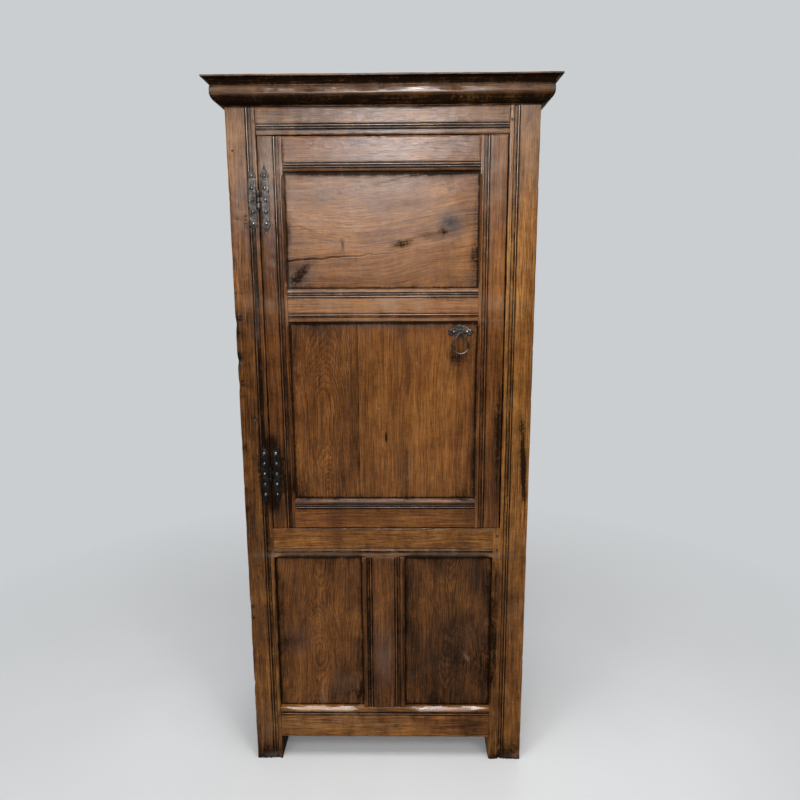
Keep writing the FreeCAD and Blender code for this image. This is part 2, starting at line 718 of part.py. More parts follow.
upper_opening = ("door_middle_rail_top + chamfer_stop", "door_top_rail_bottom - chamfer_stop")
lower_opening = ("door_bottom_rail_top + chamfer_stop", "door_middle_rail_bottom - chamfer_stop")
fixed_opening = ("bottom_rail_top + chamfer_stop", "sill_bottom - chamfer_stop")
for opening in (upper_opening, lower_opening):
    chamfer("door_hinge_stile", "z", opening, "hinge_stile_in", "chamfer_width")
    chamfer("door_free_stile", "z", opening, "free_stile_in", "chamfer_width")
for member, edge in (("front_left_post", "left_in"), ("front_right_post", "foot_in"),
                     ("lower_muntin", "muntin_left"), ("lower_muntin", "muntin_right")):
    chamfer(member, "z", fixed_opening, edge, "chamfer_width")
for rail in ("door_middle_rail", "door_bottom_rail"):
    chamfer(rail, "x", rooms[rail]["x"], rail + "_top", "rail_chamfer_width")
for opening in (("left_in", "muntin_left"), ("muntin_right", "foot_in")):
    lens_chamfer("sill_rail", opening, "sill_bottom", False)
    lens_chamfer("bottom_rail", opening, "bottom_rail_top", True)


# The cornice, mitred at the front corners
def cornice_length(name, length):
    """A length of cornice along X, with the carcass face at Y = 0 and its foot at Z = 0."""
    body = doc.addObject("PartDesign::Body", name + "_length")
    lip = "cornice_height - cornice_lip_height"
    corners = [("cornice_backing", "0"), ("-cornice_foot_overhang", "0"),
               ("-cornice_foot_overhang", "cornice_foot_height"),
               ("-cornice_nose_overhang", "cornice_nose_height"),
               ("-cornice_neck_overhang", "cornice_neck_height"),
               ("cornice_lip_quirk - cornice_overhang", lip), ("-cornice_overhang", lip),
               ("-cornice_overhang", "cornice_height"), ("cornice_backing", "cornice_height")]
    sketch = outline(body, "YZ_Plane", name + "_profile", corners,
                     {2: ("ovolo_radius", -1), 4: ("cavetto_radius", 1)})
    pad = body.newObject("PartDesign::Pad", name + "_pad")
    pad.Profile = sketch
    pad.setExpression("Length", expr(length))
    body.Tip = pad
    return body


def mitre(name, x, y, angle):
    """A block turned to the mitre, with one corner of it at a place."""
    solid = doc.addObject("Part::Box", name)
    solid.Placement = FreeCAD.Placement(Vector(), Rotation(Vector(0, 0, 1), angle))
    for side, size in (("Length", "sqrt(2) * mitre_reach"), ("Width", "2 * sqrt(2) * mitre_reach"),
                       ("Height", "cornice_height"), ("Placement.Base.x", x), ("Placement.Base.y", y),
                       ("Placement.Base.z", "carcass_height")):
        solid.setExpression(side, expr(size))
    return solid


front_run = cornice_length("cornice_front", "carcass_width + 2 * cornice_overhang")
left_run = cornice_length("cornice_left", "carcass_depth + cornice_overhang")
right_run = cornice_length("cornice_right", "carcass_depth + cornice_overhang")
runs = ((front_run, "left - cornice_overhang", "front", 0),
        (left_run, "left", "back", -90),
        (right_run, "right", "front - cornice_overhang", 90))
for run, x, y, angle in runs:
    run.Placement = FreeCAD.Placement(Vector(), Rotation(Vector(0, 0, 1), angle))
    run.setExpression("Placement.Base.x", expr(x))
    run.setExpression("Placement.Base.y", expr(y))
    run.setExpression("Placement.Base.z", expr("carcass_height"))
join("cornice_front", front_run)
join("cornice_left", left_run)
join("cornice_right", right_run)
cut(["cornice_front"], mitre("front_mitre_right", "right + mitre_reach", "front - mitre_reach", 45))
cut(["cornice_front"], mitre("front_mitre_left", "left + mitre_reach", "front + mitre_reach", 135))
cut(["cornice_right"], mitre("right_mitre", "right", "front - 2 * mitre_reach", 45))
cut(["cornice_left"], mitre("left_mitre", "left + 2 * mitre_reach", "front", 135))
for share in ("1 / 4", "1 / 2", "3 / 4"):
    nail("carcass_nails", f"left + carcass_width * {share}", "front + cornice_backing / 2", "cornice_top",
         "z", "+", ["cornice_front", "frieze_rail"], "long_nail_length")
for side, line in (("left", "left + cornice_backing / 4"), ("right", "right - cornice_backing / 4")):
    for share in ("1 / 4", "3 / 4"):
        depth = f"front_post_back + (back_post_front - front_post_back) * {share}"
        nail("carcass_nails", line, depth, "cornice_top", "z", "+",
             [f"cornice_{side}", f"{side}_side_top_rail"], "long_nail_length")


# The hinges
def leaf(node, centre, side, length, knuckle_steps):
    """A spear-ended leaf on the front face, with its knuckles on the hinge line."""
    body = doc.addObject("PartDesign::Body", node + "_plate")
    half = "leaf_width / 2"
    wide = "leaf_spear_width / 2"
    shoulder = "leaf_straight_length / 2"
    widest = "leaf_straight_length / 2 + leaf_shoulder_height"
    tip = f"{length} / 2"
    corners = [(half, f"-({shoulder})"), (half, shoulder), (wide, widest), ("0", tip), (f"-{wide}", widest),
               (f"-{half}", shoulder), (f"-{half}", f"-({shoulder})"), (f"-{wide}", f"-({widest})"),
               ("0", f"-{tip}"), (wide, f"-({widest})")]
    sketch = outline(body, "XZ_Plane", node + "_outline", corners, {})
    pad = body.newObject("PartDesign::Pad", node + "_pad")
    pad.Profile = sketch
    pad.setExpression("Length", expr("leaf_thickness"))
    body.Tip = pad
    body.setExpression("Placement.Base.x", expr(f"hinge_x {side} leaf_offset"))
    body.setExpression("Placement.Base.y", expr("front"))
    body.setExpression("Placement.Base.z", expr(centre))
    join(node, body)
    for step in knuckle_steps:
        low = f"{centre} + {step} * (knuckle_length + knuckle_gap) - knuckle_length / 2"
        heights = (low, f"{low} + knuckle_length")
        inner = f"hinge_x {side} (leaf_offset - leaf_width / 2 + leaf_thickness)"
        width = (inner, "hinge_x") if side == "-" else ("hinge_x", inner)
        join(node, box(node + "_tab", space(width, ("front - leaf_thickness", "front"), heights)))
        join(node, rod(node + "_knuckle", space("hinge_x", "hinge_y", heights), "knuckle_radius"))
    # the hinge line is bored right through for the pin
    bore = (f"{centre} - 2 * knuckle_length", f"{centre} + 2 * knuckle_length")
    cut([node], rod(node + "_bore", space("hinge_x", "hinge_y", bore), "hinge_pin_radius", "hinge_pin_fit"))


for hinge in ("upper", "lower"):
    centre = f"{hinge}_hinge_centre"
    leaf(f"{hinge}_hinge_frame_leaf", centre, "-", "frame_leaf_length", (-1, 1))
    leaf(f"{hinge}_hinge_door_leaf", centre, "+", "door_leaf_length", (0,))
    half_run = "3 / 2 * knuckle_length + 2 * knuckle_gap"
    run = (f"{centre} - ({half_run})", f"{centre} + {half_run}")
    pin = f"{hinge}_hinge_pin"
    join(pin, rod(pin + "_shank", space("hinge_x", "hinge_y", run), "hinge_pin_radius"))
    for end in ((run[1], f"{run[1]} + pin_head_height"), (f"{run[0]} - pin_head_height", run[0])):
        join(pin, rod(pin + "_head", space("hinge_x", "hinge_y", end), "pin_head_radius"))
    for step in (-2, -1, 0, 1, 2):
        height = f"{centre} + {step} * stud_spacing"
        face = "front - leaf_thickness"
        stud("hinge_frame_nails", "hinge_x - leaf_offset", face, height,
             [f"{hinge}_hinge_frame_leaf", "front_left_post"])
        stud("door_nails", "hinge_x + leaf_offset", face, height,
             [f"{hinge}_hinge_door_leaf", "door_hinge_stile"])

# The ring pull on the lower panel of the door
plate_depth = ("plate_face", "door_panel_face")
lobe_reach = "(plate_width / 2 - plate_lobe_radius)"
lobe_height = "pull_height + plate_lobe_rise"
join("pull_plate", rod("plate_crown", space("pull_centre", plate_depth, "pull_height + plate_crown_rise"),
                       "plate_crown_radius"))
for sign in ("-", "+"):
    lobe = space(f"pull_centre {sign} {lobe_reach}", plate_depth, lobe_height)
    join("pull_plate", rod("plate_lobe", lobe, "plate_lobe_radius"))
bar_width = (f"pull_centre - {lobe_reach}", f"pull_centre + {lobe_reach}")
bar_height = (f"{lobe_height} - plate_lobe_radius / 2", f"{lobe_height} + plate_lobe_radius / 2")
join("pull_plate", box("plate_bar", space(bar_width, plate_depth, bar_height)))
for sign in ("-", "+"):
    stud("door_nails", f"pull_centre {sign} plate_nail_offset", "plate_face", "pull_height + plate_nail_rise",
         ["pull_plate", "door_lower_panel_right"])

eye = doc.addObject("Part::Torus", "pull_eye_ring")
eye.Placement = FreeCAD.Placement(Vector(), Rotation(Vector(0, 1, 0), 90))
for side, size in (("Radius1", "eye_radius"), ("Radius2", "eye_wire_radius"),
                   ("Placement.Base.x", "pull_centre"), ("Placement.Base.y", "eye_y"),
                   ("Placement.Base.z", "pull_height")):
    eye.setExpression(side, expr(size))
join("pull_eye", eye)
stem = space("pull_centre", ("eye_y + eye_radius", "eye_y + eye_radius + eye_stem_length"), "pull_height")
join("pull_eye", rod("pull_eye_stem", stem, "eye_wire_radius"))
cut(["pull_plate", "door_lower_panel_right"], rod("pull_eye_hole", stem, "eye_wire_radius", "nail_fit"))


def bail_shape():
    """A pear-shaped ring of round wire that hangs from its narrow end at the origin, in the XZ plane."""
    bow = number("bail_bow_radius")
    neck = number("bail_neck_radius")
    bow_centre = Vector(0, 0, bow - number("bail_length"))
    neck_centre = Vector(0, 0, -neck)
    lean = math.asin((bow - neck) / (neck_centre.z - bow_centre.z))
    normals = [Vector(side * math.cos(lean), 0, math.sin(lean)) for side in (1, -1)]
    bow_ends = [bow_centre + normal * bow for normal in normals]
    neck_ends = [neck_centre + normal * neck for normal in normals]
    top = Vector(0, 0, 0)
    foot = bow_centre - Vector(0, 0, bow)
    quarter = (normals[0] + Vector(0, 0, 1)).normalize() * neck
    edges = [
        Part.Arc(top, neck_centre + quarter, neck_ends[0]).toShape(),
        Part.LineSegment(neck_ends[0], bow_ends[0]).toShape(),
        Part.Arc(bow_ends[0], foot, bow_ends[1]).toShape(),
        Part.LineSegment(bow_ends[1], neck_ends[1]).toShape(),
        Part.Arc(neck_ends[1], neck_centre + Vector(-quarter.x, 0, quarter.z), top).toShape(),
    ]
    section = Part.Wire(Part.makeCircle(number("bail_wire_radius"), top, Vector(1, 0, 0)))
    return Part.Wire(edges).makePipeShell([section], True, False)


bail = doc.addObject("Part::Feature", "pull_bail")
bail.Shape = bail_shape()
for axis, line in (("x", "pull_centre"), ("y", "eye_y"), ("z", "pull_height")):
    bail.setExpression(f"Placement.Base.{axis}", expr(line))
join("pull_bail", bail)

# Put each node together from its blanks and tools
GROUPS = ("carcass_pegs", "carcass_nails", "door_pegs", "door_nails", "hinge_frame_nails")
nodes = {}
for node, solids in blanks.items():
    whole = solids[0]
    if len(solids) > 1:
        whole = doc.addObject("Part::Compound" if node in GROUPS else "Part::MultiFuse", node + "_joined")
        if node in GROUPS:
            whole.Links = solids
        else:
            whole.Shapes = solids
    if node in tools:
        whole = subtract(node + "_finished", whole, tools[node])
    whole.Label = node
    nodes[node] = whole
doc.recompute()

for thing in doc.Objects:
    if "Invalid" in thing.State or "Error" in thing.State:
        raise RuntimeError(f"{thing.Label} failed: {thing.State}")
for node, thing in nodes.items():
    if thing.Shape.isNull() or not thing.Shape.isValid() or not thing.Shape.Solids:
        raise RuntimeError(f"{node} has no sound shape")

os.makedirs("parts", exist_ok=True)
for node, thing in nodes.items():
    thing.Shape.exportStep(f"parts/{node}.step")
print(len(nodes), "nodes,", sum(len(thing.Shape.Solids) for thing in nodes.values()), "solids")
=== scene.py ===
"""Looks of a joined oak food cupboard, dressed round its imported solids.

Lengths are millimetres in the part's own frame until a mesh is made."""

import json
import math
import zlib
from collections import namedtuple

import bmesh
import bpy
import numpy as np
from mathutils import Matrix, Vector

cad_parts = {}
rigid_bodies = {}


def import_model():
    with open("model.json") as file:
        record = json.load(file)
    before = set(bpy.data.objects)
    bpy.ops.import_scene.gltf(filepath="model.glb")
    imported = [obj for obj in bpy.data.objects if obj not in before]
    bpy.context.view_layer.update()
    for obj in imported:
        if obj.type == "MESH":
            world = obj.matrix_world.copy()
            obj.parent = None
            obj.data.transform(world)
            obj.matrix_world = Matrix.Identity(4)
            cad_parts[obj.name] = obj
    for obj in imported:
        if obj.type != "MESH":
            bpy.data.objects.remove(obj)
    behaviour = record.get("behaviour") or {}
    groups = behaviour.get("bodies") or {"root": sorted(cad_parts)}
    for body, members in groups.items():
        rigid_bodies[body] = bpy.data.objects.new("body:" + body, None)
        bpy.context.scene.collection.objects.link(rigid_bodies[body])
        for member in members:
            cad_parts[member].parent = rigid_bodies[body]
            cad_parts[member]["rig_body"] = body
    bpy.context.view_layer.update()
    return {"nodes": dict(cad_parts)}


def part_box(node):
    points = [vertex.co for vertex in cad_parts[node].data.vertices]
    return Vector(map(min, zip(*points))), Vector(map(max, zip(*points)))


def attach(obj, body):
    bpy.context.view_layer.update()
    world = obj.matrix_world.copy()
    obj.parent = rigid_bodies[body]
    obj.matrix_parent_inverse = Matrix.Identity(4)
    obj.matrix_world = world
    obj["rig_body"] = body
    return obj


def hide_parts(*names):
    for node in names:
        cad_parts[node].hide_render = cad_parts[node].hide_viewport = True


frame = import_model()
BODY_OF = {name: node["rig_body"] for name, node in frame["nodes"].items()}
MM = 0.001

# Mouldings, tenons and chamfers
SUNK = 3.0
QUIRK = 1.6
QUIRK_DIRT = 2.6
BEAD = 2.2
NARROW_FLOOR = 6
TENON = 34.0
PANEL_TONGUE = 8
CHAMFER = 6.0
RAIL_CHAMFER = 7.0
CHAMFER_STOP = 14.0
LENS = 13.5
LENS_STOP = 60.0
SILL_STOP = 38.0
CORNICE_REACH = 43.0
RIGHT_POST_WIDTH = 74.0


def corners(node):
    """A node's box in millimetres: its lowest and its highest corner."""
    low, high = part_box(node)
    return np.array(low) / MM, np.array(high) / MM


def span(node, axis):
    """Where a node starts and ends along one axis."""
    low, high = corners(node)
    return low[AXES[axis]], high[AXES[axis]]


AXES = {"x": 0, "y": 1, "z": 2}
FRONT, _ = span("front_left_post", "y")
_, LEFT_IN = span("front_left_post", "x")
FOOT_IN, _ = span("front_right_post", "x")
RIGHT_IN = span("cornice_right", "x")[1] - CORNICE_REACH - RIGHT_POST_WIDTH
SILL_LOW, SILL_HIGH = span("sill_rail", "z")
_, RAIL_HIGH = span("bottom_rail", "z")
FRIEZE_LOW, CARCASS_TOP = span("frieze_rail", "z")
MUNTIN_LEFT, MUNTIN_RIGHT = span("lower_muntin", "x")
_, STILE_IN_LEFT = span("door_hinge_stile", "x")
STILE_IN_RIGHT, _ = span("door_free_stile", "x")
DOOR_TOP_LOW, _ = span("door_top_rail", "z")
DOOR_MID_LOW, DOOR_MID_HIGH = span("door_middle_rail", "z")
_, DOOR_LOW_HIGH = span("door_bottom_rail", "z")


def seed_of(text):
    """A number that is always the same for the same name."""
    return zlib.crc32(text.encode())


def ripple(seed, points, wavelength):
    """Smooth irregular values, mostly from -1 to 1, over points of any dimension."""
    rng = np.random.default_rng(seed)
    points = np.asarray(points, float)
    total = np.zeros(points.shape[:-1])
    for _ in range(7):
        direction = rng.normal(size=points.shape[-1])
        direction *= 2 * math.pi * rng.uniform(0.55, 1.8) / (wavelength * np.linalg.norm(direction))
        total += np.sin(points @ direction + rng.uniform(0, 2 * math.pi))
    return total / 2.7


def smooth(edge, value):
    """A soft step from 0 at nothing to 1 at the edge."""
    share = np.clip(value / edge, 0, 1)
    return share * share * (3 - 2 * share)


def hump(off, reach):
    """A soft hump: 1 in its middle, and almost nothing at twice its reach."""
    return np.exp(-(off / reach) ** 2)


def circle(count):
    """Angles in even steps, once round."""
    return np.linspace(0, 2 * math.pi, count, endpoint=False)


# Sections: a moulding's rows have the first four columns
# DIRT_AND_SHADE holds dirt and painted shade, RUB_AND_HIGHLIGHT rubbed wear and painted highlights
ACROSS, DEPTH, DIRT_AND_SHADE, RUB_AND_HIGHLIGHT, WEAR_ACROSS, WEAR_DEPTH, SHOW = range(7)
EASE = 1.1
EASED_ROWS = ((0.0, 1.0, 0.7), (0.3, 0.3, 1.0), (1.0, 0.0, 0.6))
SIDE_PITCH = 22
SOFT_PITCH = 1.2
SOFT_WIDEST = 14.5


def bead_rows(centre, stain):
    """A round bead that stands in a sunk band, with a dirty quirk each side and its crest rubbed lighter,
    partly a painted highlight.
    """
    rows = [(centre - BEAD, SUNK, QUIRK_DIRT, 0.0)]
    for angle in range(180, -1, -30):
        turn = math.radians(angle)
        rise = math.sin(turn)
        dirt = QUIRK_DIRT * (1 - rise * rise) ** 1.3 + stain
        rows.append((centre + BEAD * math.cos(turn), BEAD * (1 - rise), dirt, 0.9 * rise ** 6))
    rows.append((centre + BEAD, SUNK, QUIRK_DIRT, 0.0))
    return rows


def moulding(edge, inwards, inset, width, beads):
    """A sunk band along a face, measured from an edge, that leaves beads standing at its far side."""
    bead_pitch = 2 * BEAD + QUIRK
    floor_end = width - beads * bead_pitch
    stain = 1.0 if floor_end < NARROW_FLOOR else 0.5
    rows = [(0.0, 0.0, 0.3, 0.0), (0.3, SUNK * 0.6, 2.2, 0.0), (1.0, SUNK, 2.4, 0.0)]
    for share, dirt in ((0.28, 0.50), (0.55, 0.60), (0.80, 1.0)):
        if floor_end * share > 1.3:
            rows.append((floor_end * share, SUNK, dirt * stain, 0.0))
    for count in range(beads):
        rows += bead_rows(floor_end + BEAD + count * bead_pitch, 0.7 * (beads - 1 - count))
    rows += [(width - 0.2, SUNK, QUIRK_DIRT, 0.0), (width, 0.1, 0.6, 0.0)]
    placed = [(edge + inwards * (inset + across), depth, dirt, rub_and_highlight) for across, depth, dirt, rub_and_highlight in rows]
    return placed if inwards > 0 else placed[::-1]


def flats(start, end, pitch, breaks):
    """Points strictly between two places on a flat, closer together outside the breaks."""
    stops = [start] + [place for place in breaks if start < place < end] + [end]
    rows = []
    for low, high in zip(stops, stops[1:]):
        soft = high - low < SOFT_WIDEST and len(stops) > 2
        count = max(math.ceil((high - low) / (SOFT_PITCH if soft else pitch)), 1)
        rows += [(low + (high - low) * k / count, 0.0, 0.0, 0.0) for k in range(1, count + 1)]
    return rows[:-1]


def face_rows(low, high, mouldings, pitch, soft):
    """The show face from edge to edge: flats between the mouldings, with fine steps near soft edges."""
    breaks = [low + soft[0]] if soft[0] else []
    breaks += [high - soft[1]] if soft[1] else []
    line = []
    at = low
    for rows in sorted(mouldings, key=lambda rows: rows[0][0]):
        line += flats(at, rows[0][0], pitch, breaks)
        line += rows
        at = rows[-1][0]
    return line + flats(at, high, pitch, breaks)


def section(low, high, thick, mouldings, pitch, soft):
    """Rows round a squared bar: its show face with eased edges, then its sides and its back."""
    rows = []
    for across, depth, share in EASED_ROWS:
        rows.append((low + across * EASE, depth * EASE, 0.0, 0.15 * share, 0.7 * share, 0.7 * share, 1.0))
    for across, depth, dirt, rub_and_highlight in face_rows(low + EASE, high - EASE, mouldings, pitch, soft):
        rows.append((across, depth, dirt, rub_and_highlight, 0.0, 0.35 * rub_and_highlight, 1.0))
    for across, depth, share in reversed(EASED_ROWS):
        rows.append((high - across * EASE, depth * EASE, 0.0, 0.15 * share, -0.7 * share, 0.7 * share, 1.0))
    steps = max(int((thick - 2 * EASE) / SIDE_PITCH), 1)
    side = [EASE + (thick - 2 * EASE) * k / steps for k in range(1, steps + 1)]
    hidden = [(high, depth) for depth in side] + [(high - EASE, thick), (low + EASE, thick)]
    hidden += [(low, depth) for depth in reversed(side)]
    rows += [(across, depth, 0.0, 0.0, 0.0, 0.0, 0.0) for across, depth in hidden]
    return np.array(rows)


def repeated(rows, column, along):
    """One column of a section's rows, for every place along a run."""
    return np.repeat(rows[None, :, column], len(along), 0)


# A chamfer on the low or high edge of a face; its slope is its depth for each millimetre of width
Chamfer = namedtuple("Chamfer", "edge start end width stop slope")


def stopped(edge, opening):
    """The usual chamfer along one side of an opening."""
    return Chamfer(edge, *opening, CHAMFER, CHAMFER_STOP, 1.0)


def chamfer_width(chamfer, along):
    """How wide a chamfer is at places along its edge: a stopped one runs out to a point."""
    if not chamfer.stop:
        return np.where((along >= chamfer.start) & (along <= chamfer.end), chamfer.width, 0.0)
    reach = np.clip(np.minimum(along - chamfer.start, chamfer.end - along) / chamfer.stop, 0, 1)
    return chamfer.width * reach * (2 - reach)


FACING = {"front": ("y", 1), "back": ("y", -1), "left": ("x", 1), "right": ("x", -1), "top": ("z", -1)}
END_EASE = 0.6
DENT_PITCH = 110
GRAIN_STARTS = 977


def stations(start, end, pitch, extra):
    """Places along a run, with one close to each end, and the extra ones."""
    count = max(int((end - start) / pitch), 2)
    places = list(np.linspace(start, end, count + 1)) + [start + 0.7, end - 0.7]
    places += [place for place in extra if start + 2 < place < end - 2]
    return np.unique(np.round(places, 2))


def bar(name, low, high, facing, run, mouldings=(), chamfers=(), pitch=4.0, step=5.0, grain=None,
        shade=0.0, gold=0.0, cracks=(), nicks=(), ragged=0.0, square=False, edge_dirt=0.0, joint="",
        wear=1.0, gap=""):
    """A worn bar or board inside a box, with its grain along one axis and its face to one side."""
    seed = seed_of(name)
    rng = np.random.default_rng(seed)
    depth_axis, sign = FACING[facing]
    across_axis = next(axis for axis in "xyz" if axis not in (run, depth_axis))
    i, j, k = AXES[run], AXES[across_axis], AXES[depth_axis]
    thick = high[k] - low[k]
    soft = [max([c.width + 1 for c in chamfers if c.edge == edge], default=0) for edge in ("low", "high")]
    rows = section(low[j], high[j], thick, mouldings, pitch, soft)
    for crack in cracks:
        rows = open_crack(rows, crack)
    extra = []
    for chamfer in chamfers:
        for off in (0.3, 1.5, 4, 8):
            extra += [chamfer.start - off, chamfer.start + off, chamfer.end - off, chamfer.end + off]
    along = stations(low[i], high[i], step, extra)
    run_at, across = np.meshgrid(along, rows[:, ACROSS], indexing="ij")
    depth, dirt, rub_and_highlight, show = (repeated(rows, column, along) for column in (DEPTH, DIRT_AND_SHADE, RUB_AND_HIGHLIGHT, SHOW))
    plan = np.stack([run_at, across], -1)

    # a shallow chamfer is smooth and rubbed lighter, partly a painted highlight; a steep one gets dirt and
    # painted shade
    calm = np.ones_like(depth)
    for chamfer in chamfers:
        from_edge = across - low[j] if chamfer.edge == "low" else high[j] - across
        cut = chamfer_width(chamfer, run_at) - from_edge
        depth = np.maximum(depth, cut * chamfer.slope)
        if chamfer.slope < 1.0:
            rub_and_highlight = rub_and_highlight + 0.4 * smooth(2.0, cut)
            calm = calm - smooth(2.0, cut)
        else:
            dirt = dirt + 0.35 * smooth(6.0, cut)
    for crack in cracks:
        across, depth, dirt = cut_crack(crack, run_at, across, depth, dirt)

    # hand-planed hollows on the face, and rounding and dents along its edges
    hollow = 0.22 * (1 + ripple(seed, plan * (0.35, 1.0), 75)) + 0.12 * (1 + ripple(seed + 1, plan, 40))
    hollow_share = 0.25 if edge_dirt else 0.6 if mouldings else 1.0
    depth = depth + np.clip(hollow, 0, None) * show * calm * hollow_share
    dent_dirt = 0.6 if facing == "front" else 0.2
    for edge, way in (("low", 1), ("high", -1)):
        worn = wear * (0.2 + 0.5 * np.clip(ripple(seed + 2 + way, along[:, None], 160), 0, None))
        for _ in range(int((high[i] - low[i]) / DENT_PITCH)):
            place, size, length = rng.uniform(low[i], high[i]), rng.uniform(0.3, 1.5), rng.uniform(3, 11)
            worn = worn + wear * size * hump(along - place, length)
        for nick_edge, place, size, length in nicks:
            if nick_edge == edge:
                worn = worn + size * hump(along - place, length)
        side = np.where(np.sign(rows[:, WEAR_ACROSS]) == way, 1.0, 0.0)
        across = across + worn[:, None] * side * rows[:, WEAR_ACROSS]
        depth = depth + worn[:, None] * side * rows[:, WEAR_DEPTH]
        dirt = dirt + side * np.clip(worn[:, None] - 1.0, 0, 0.9) * dent_dirt
    flattened = np.clip(ripple(seed + 9, along[:, None], 70), 0, None)[:, None]
    depth = depth + flattened * 0.9 * np.where(rows[:, WEAR_ACROSS] == 0, rows[:, WEAR_DEPTH], 0)

    if not square:
        for end in (0, -1):
            across[end] = np.clip(across[end], low[j] + END_EASE, high[j] - END_EASE)
            depth[end] = np.clip(depth[end], END_EASE, thick - END_EASE)
    if ragged:
        broken = ragged * np.clip(0.35 + ripple(seed + 4, np.stack([across, depth], -1)[0], 14), 0, 1)
        for ring in range(2):
            run_at[ring] = run_at[ring] + broken
        dirt = dirt + np.exp(-(run_at - low[i]) / 26.0) * 0.75

    # a side that stands in a gap gets painted shade, near black
    if gap:
        from_gap = across - low[j] if gap == "low" else high[j] - across
        dirt = dirt + 1.6 * (1 - smooth(1.4, from_gap)) * smooth(0.9, depth)

    # the panel's edges are dark with old wax and painted shade, and a painted shadow lies under the rail at
    # its head
    if edge_dirt:
        sides = {"low": across - low[j], "high": high[j] - across,
                 "start": run_at - low[i], "end": high[i] - run_at}
        near = np.minimum.reduce([off for edge, off in sides.items() if edge != joint])
        near = np.clip(near - PANEL_TONGUE, 0, None)
        uneven = np.clip(1 + 0.55 * ripple(seed + 6, plan, 60), 0.3, None)
        head = np.clip(sides["end" if run == "z" else "high"] - PANEL_TONGUE, 0, None)
        # the hump is a painted shadow line at the border, the soft term dirt and painted shade, and the head
        # term below a painted shadow under the rail
        shade_and_wax = 1.6 * hump(near, 3.2) + edge_dirt * np.exp(-near / (11.0 * uneven))
        dirt = dirt + show * (shade_and_wax + 1.7 * np.exp(-(head / 7.5) ** 3))

    co = np.zeros(run_at.shape + (3,))
    co[..., i] = run_at
    co[..., j] = across
    co[..., k] = (low[k] if sign > 0 else high[k]) + sign * depth
    options = {"pith": (rng.uniform(40, 120) * rng.choice((-1, 1)), rng.uniform(10, 60)),
               "lean": (rng.uniform(-0.01, 0.01), rng.uniform(-0.03, 0.03)),
               "wave": 3.0, "knots": (), "sweep": (0.0, 1.0, 0.0)}
    options.update(grain or {})
    middle = (low + high) / 2
    figure = grain_space(seed, run_at, across, depth, middle[i], middle[j], options)
    tone = shade + 0.07 * ripple(seed + 7, plan * (0.25, 1.0), 160)
    return {"rings": co, "grain": figure, "facing": facing, "show": show,
            "dirt": dirt, "rub_and_highlight": rub_and_highlight, "dust_and_sheen": np.zeros_like(dirt),
            "shade": tone, "gold": np.full_like(tone, gold), "bloom": np.zeros_like(tone)}


def grain_space(seed, run_at, across, depth, mid_run, mid_across, options):
    """Places measured from the heart of the tree: along the grain, and twice across it."""
    run = run_at - mid_run
    pith_across, pith_depth = options["pith"]
    lean_across, lean_depth = options["lean"]
    start, reach, rise = options["sweep"]
    side = across - mid_across - pith_across - lean_across * run - rise * smooth(reach, run_at - start)
    back = depth + pith_depth + lean_depth * run
    plan = np.stack([run * 0.4, across], -1)
    side = side + 0.5 * options["wave"] * ripple(seed + 11, plan, 130)
    back = back + options["wave"] * ripple(seed + 12, plan, 170)
    for place, level, length, width, push in options["knots"]:
        off = across - level
        near = hump(run_at - place, length) * hump(off, width)
        side = side - push * np.tanh(off / (0.35 * width)) * near
        back = back + push * near
    return np.stack([run_at + seed % GRAIN_STARTS, side, back], -1) * MM


def open_crack(rows, crack):
    """Put five close rows into a section where a crack will open."""
    level = crack["level"]
    kept = rows[(rows[:, SHOW] == 0.0) | (np.abs(rows[:, ACROSS] - level) > 2.5)]
    where = next(n for n in range(len(kept)) if kept[n, ACROSS] > level and kept[n, SHOW] == 1.0)
    lips = [(level + off, 0.0, 0.0, 0.0, 0.0, 0.0, 1.0) for off in (-1.6, -0.5, 0.0, 0.5, 1.6)]
    return np.vstack([kept[:where], lips, kept[where:]])


def cut_crack(crack, run_at, across, depth, dirt):
    """Bend the rows near a crack to its line, and sink and darken those in it."""
    start, end = crack["start"], crack["end"]
    share = np.clip((run_at - start) / (end - start), 0, 1)
    inside = (run_at >= start - 0.01) & (run_at <= end + 0.01)
    tapered = np.sin(math.pi * share) ** 0.6 if crack["both"] else (1 - share) ** 1.2
    open_to = np.where(inside, tapered, 0.0)
    wander = crack["wander"] * ripple(seed_of("crack") + int(crack["level"]), run_at[..., None], 55)
    off = np.abs(across - crack["level"])
    line = (crack["rise"] * share + wander) * hump(off, 24.0)
    sunk = crack["deep"] * np.where(off < 0.2, 1.0, np.where(off < 0.8, 0.25, 0.0)) * open_to
    stain = np.where(off < 1.0, 1.0, np.where(off < 2.0, 0.3, 0.0)) * open_to
    return across + line, depth + sunk, dirt + stain


def ring_faces(count, size, loop, first):
    """Faces that join rings of points, with a cap on each end unless the rings close on themselves."""
    faces = []
    for ring in range(count if loop else count - 1):
        here, there = first + ring * size, first + (ring + 1) % count * size
        for point in range(size):
            after = (point + 1) % size
            faces.append((here + point, here + after, there + after, there + point))
    if not loop:
        faces.append(tuple(range(first + size - 1, first - 1, -1)))
        faces.append(tuple(range(first + (count - 1) * size, first + count * size)))
    return faces


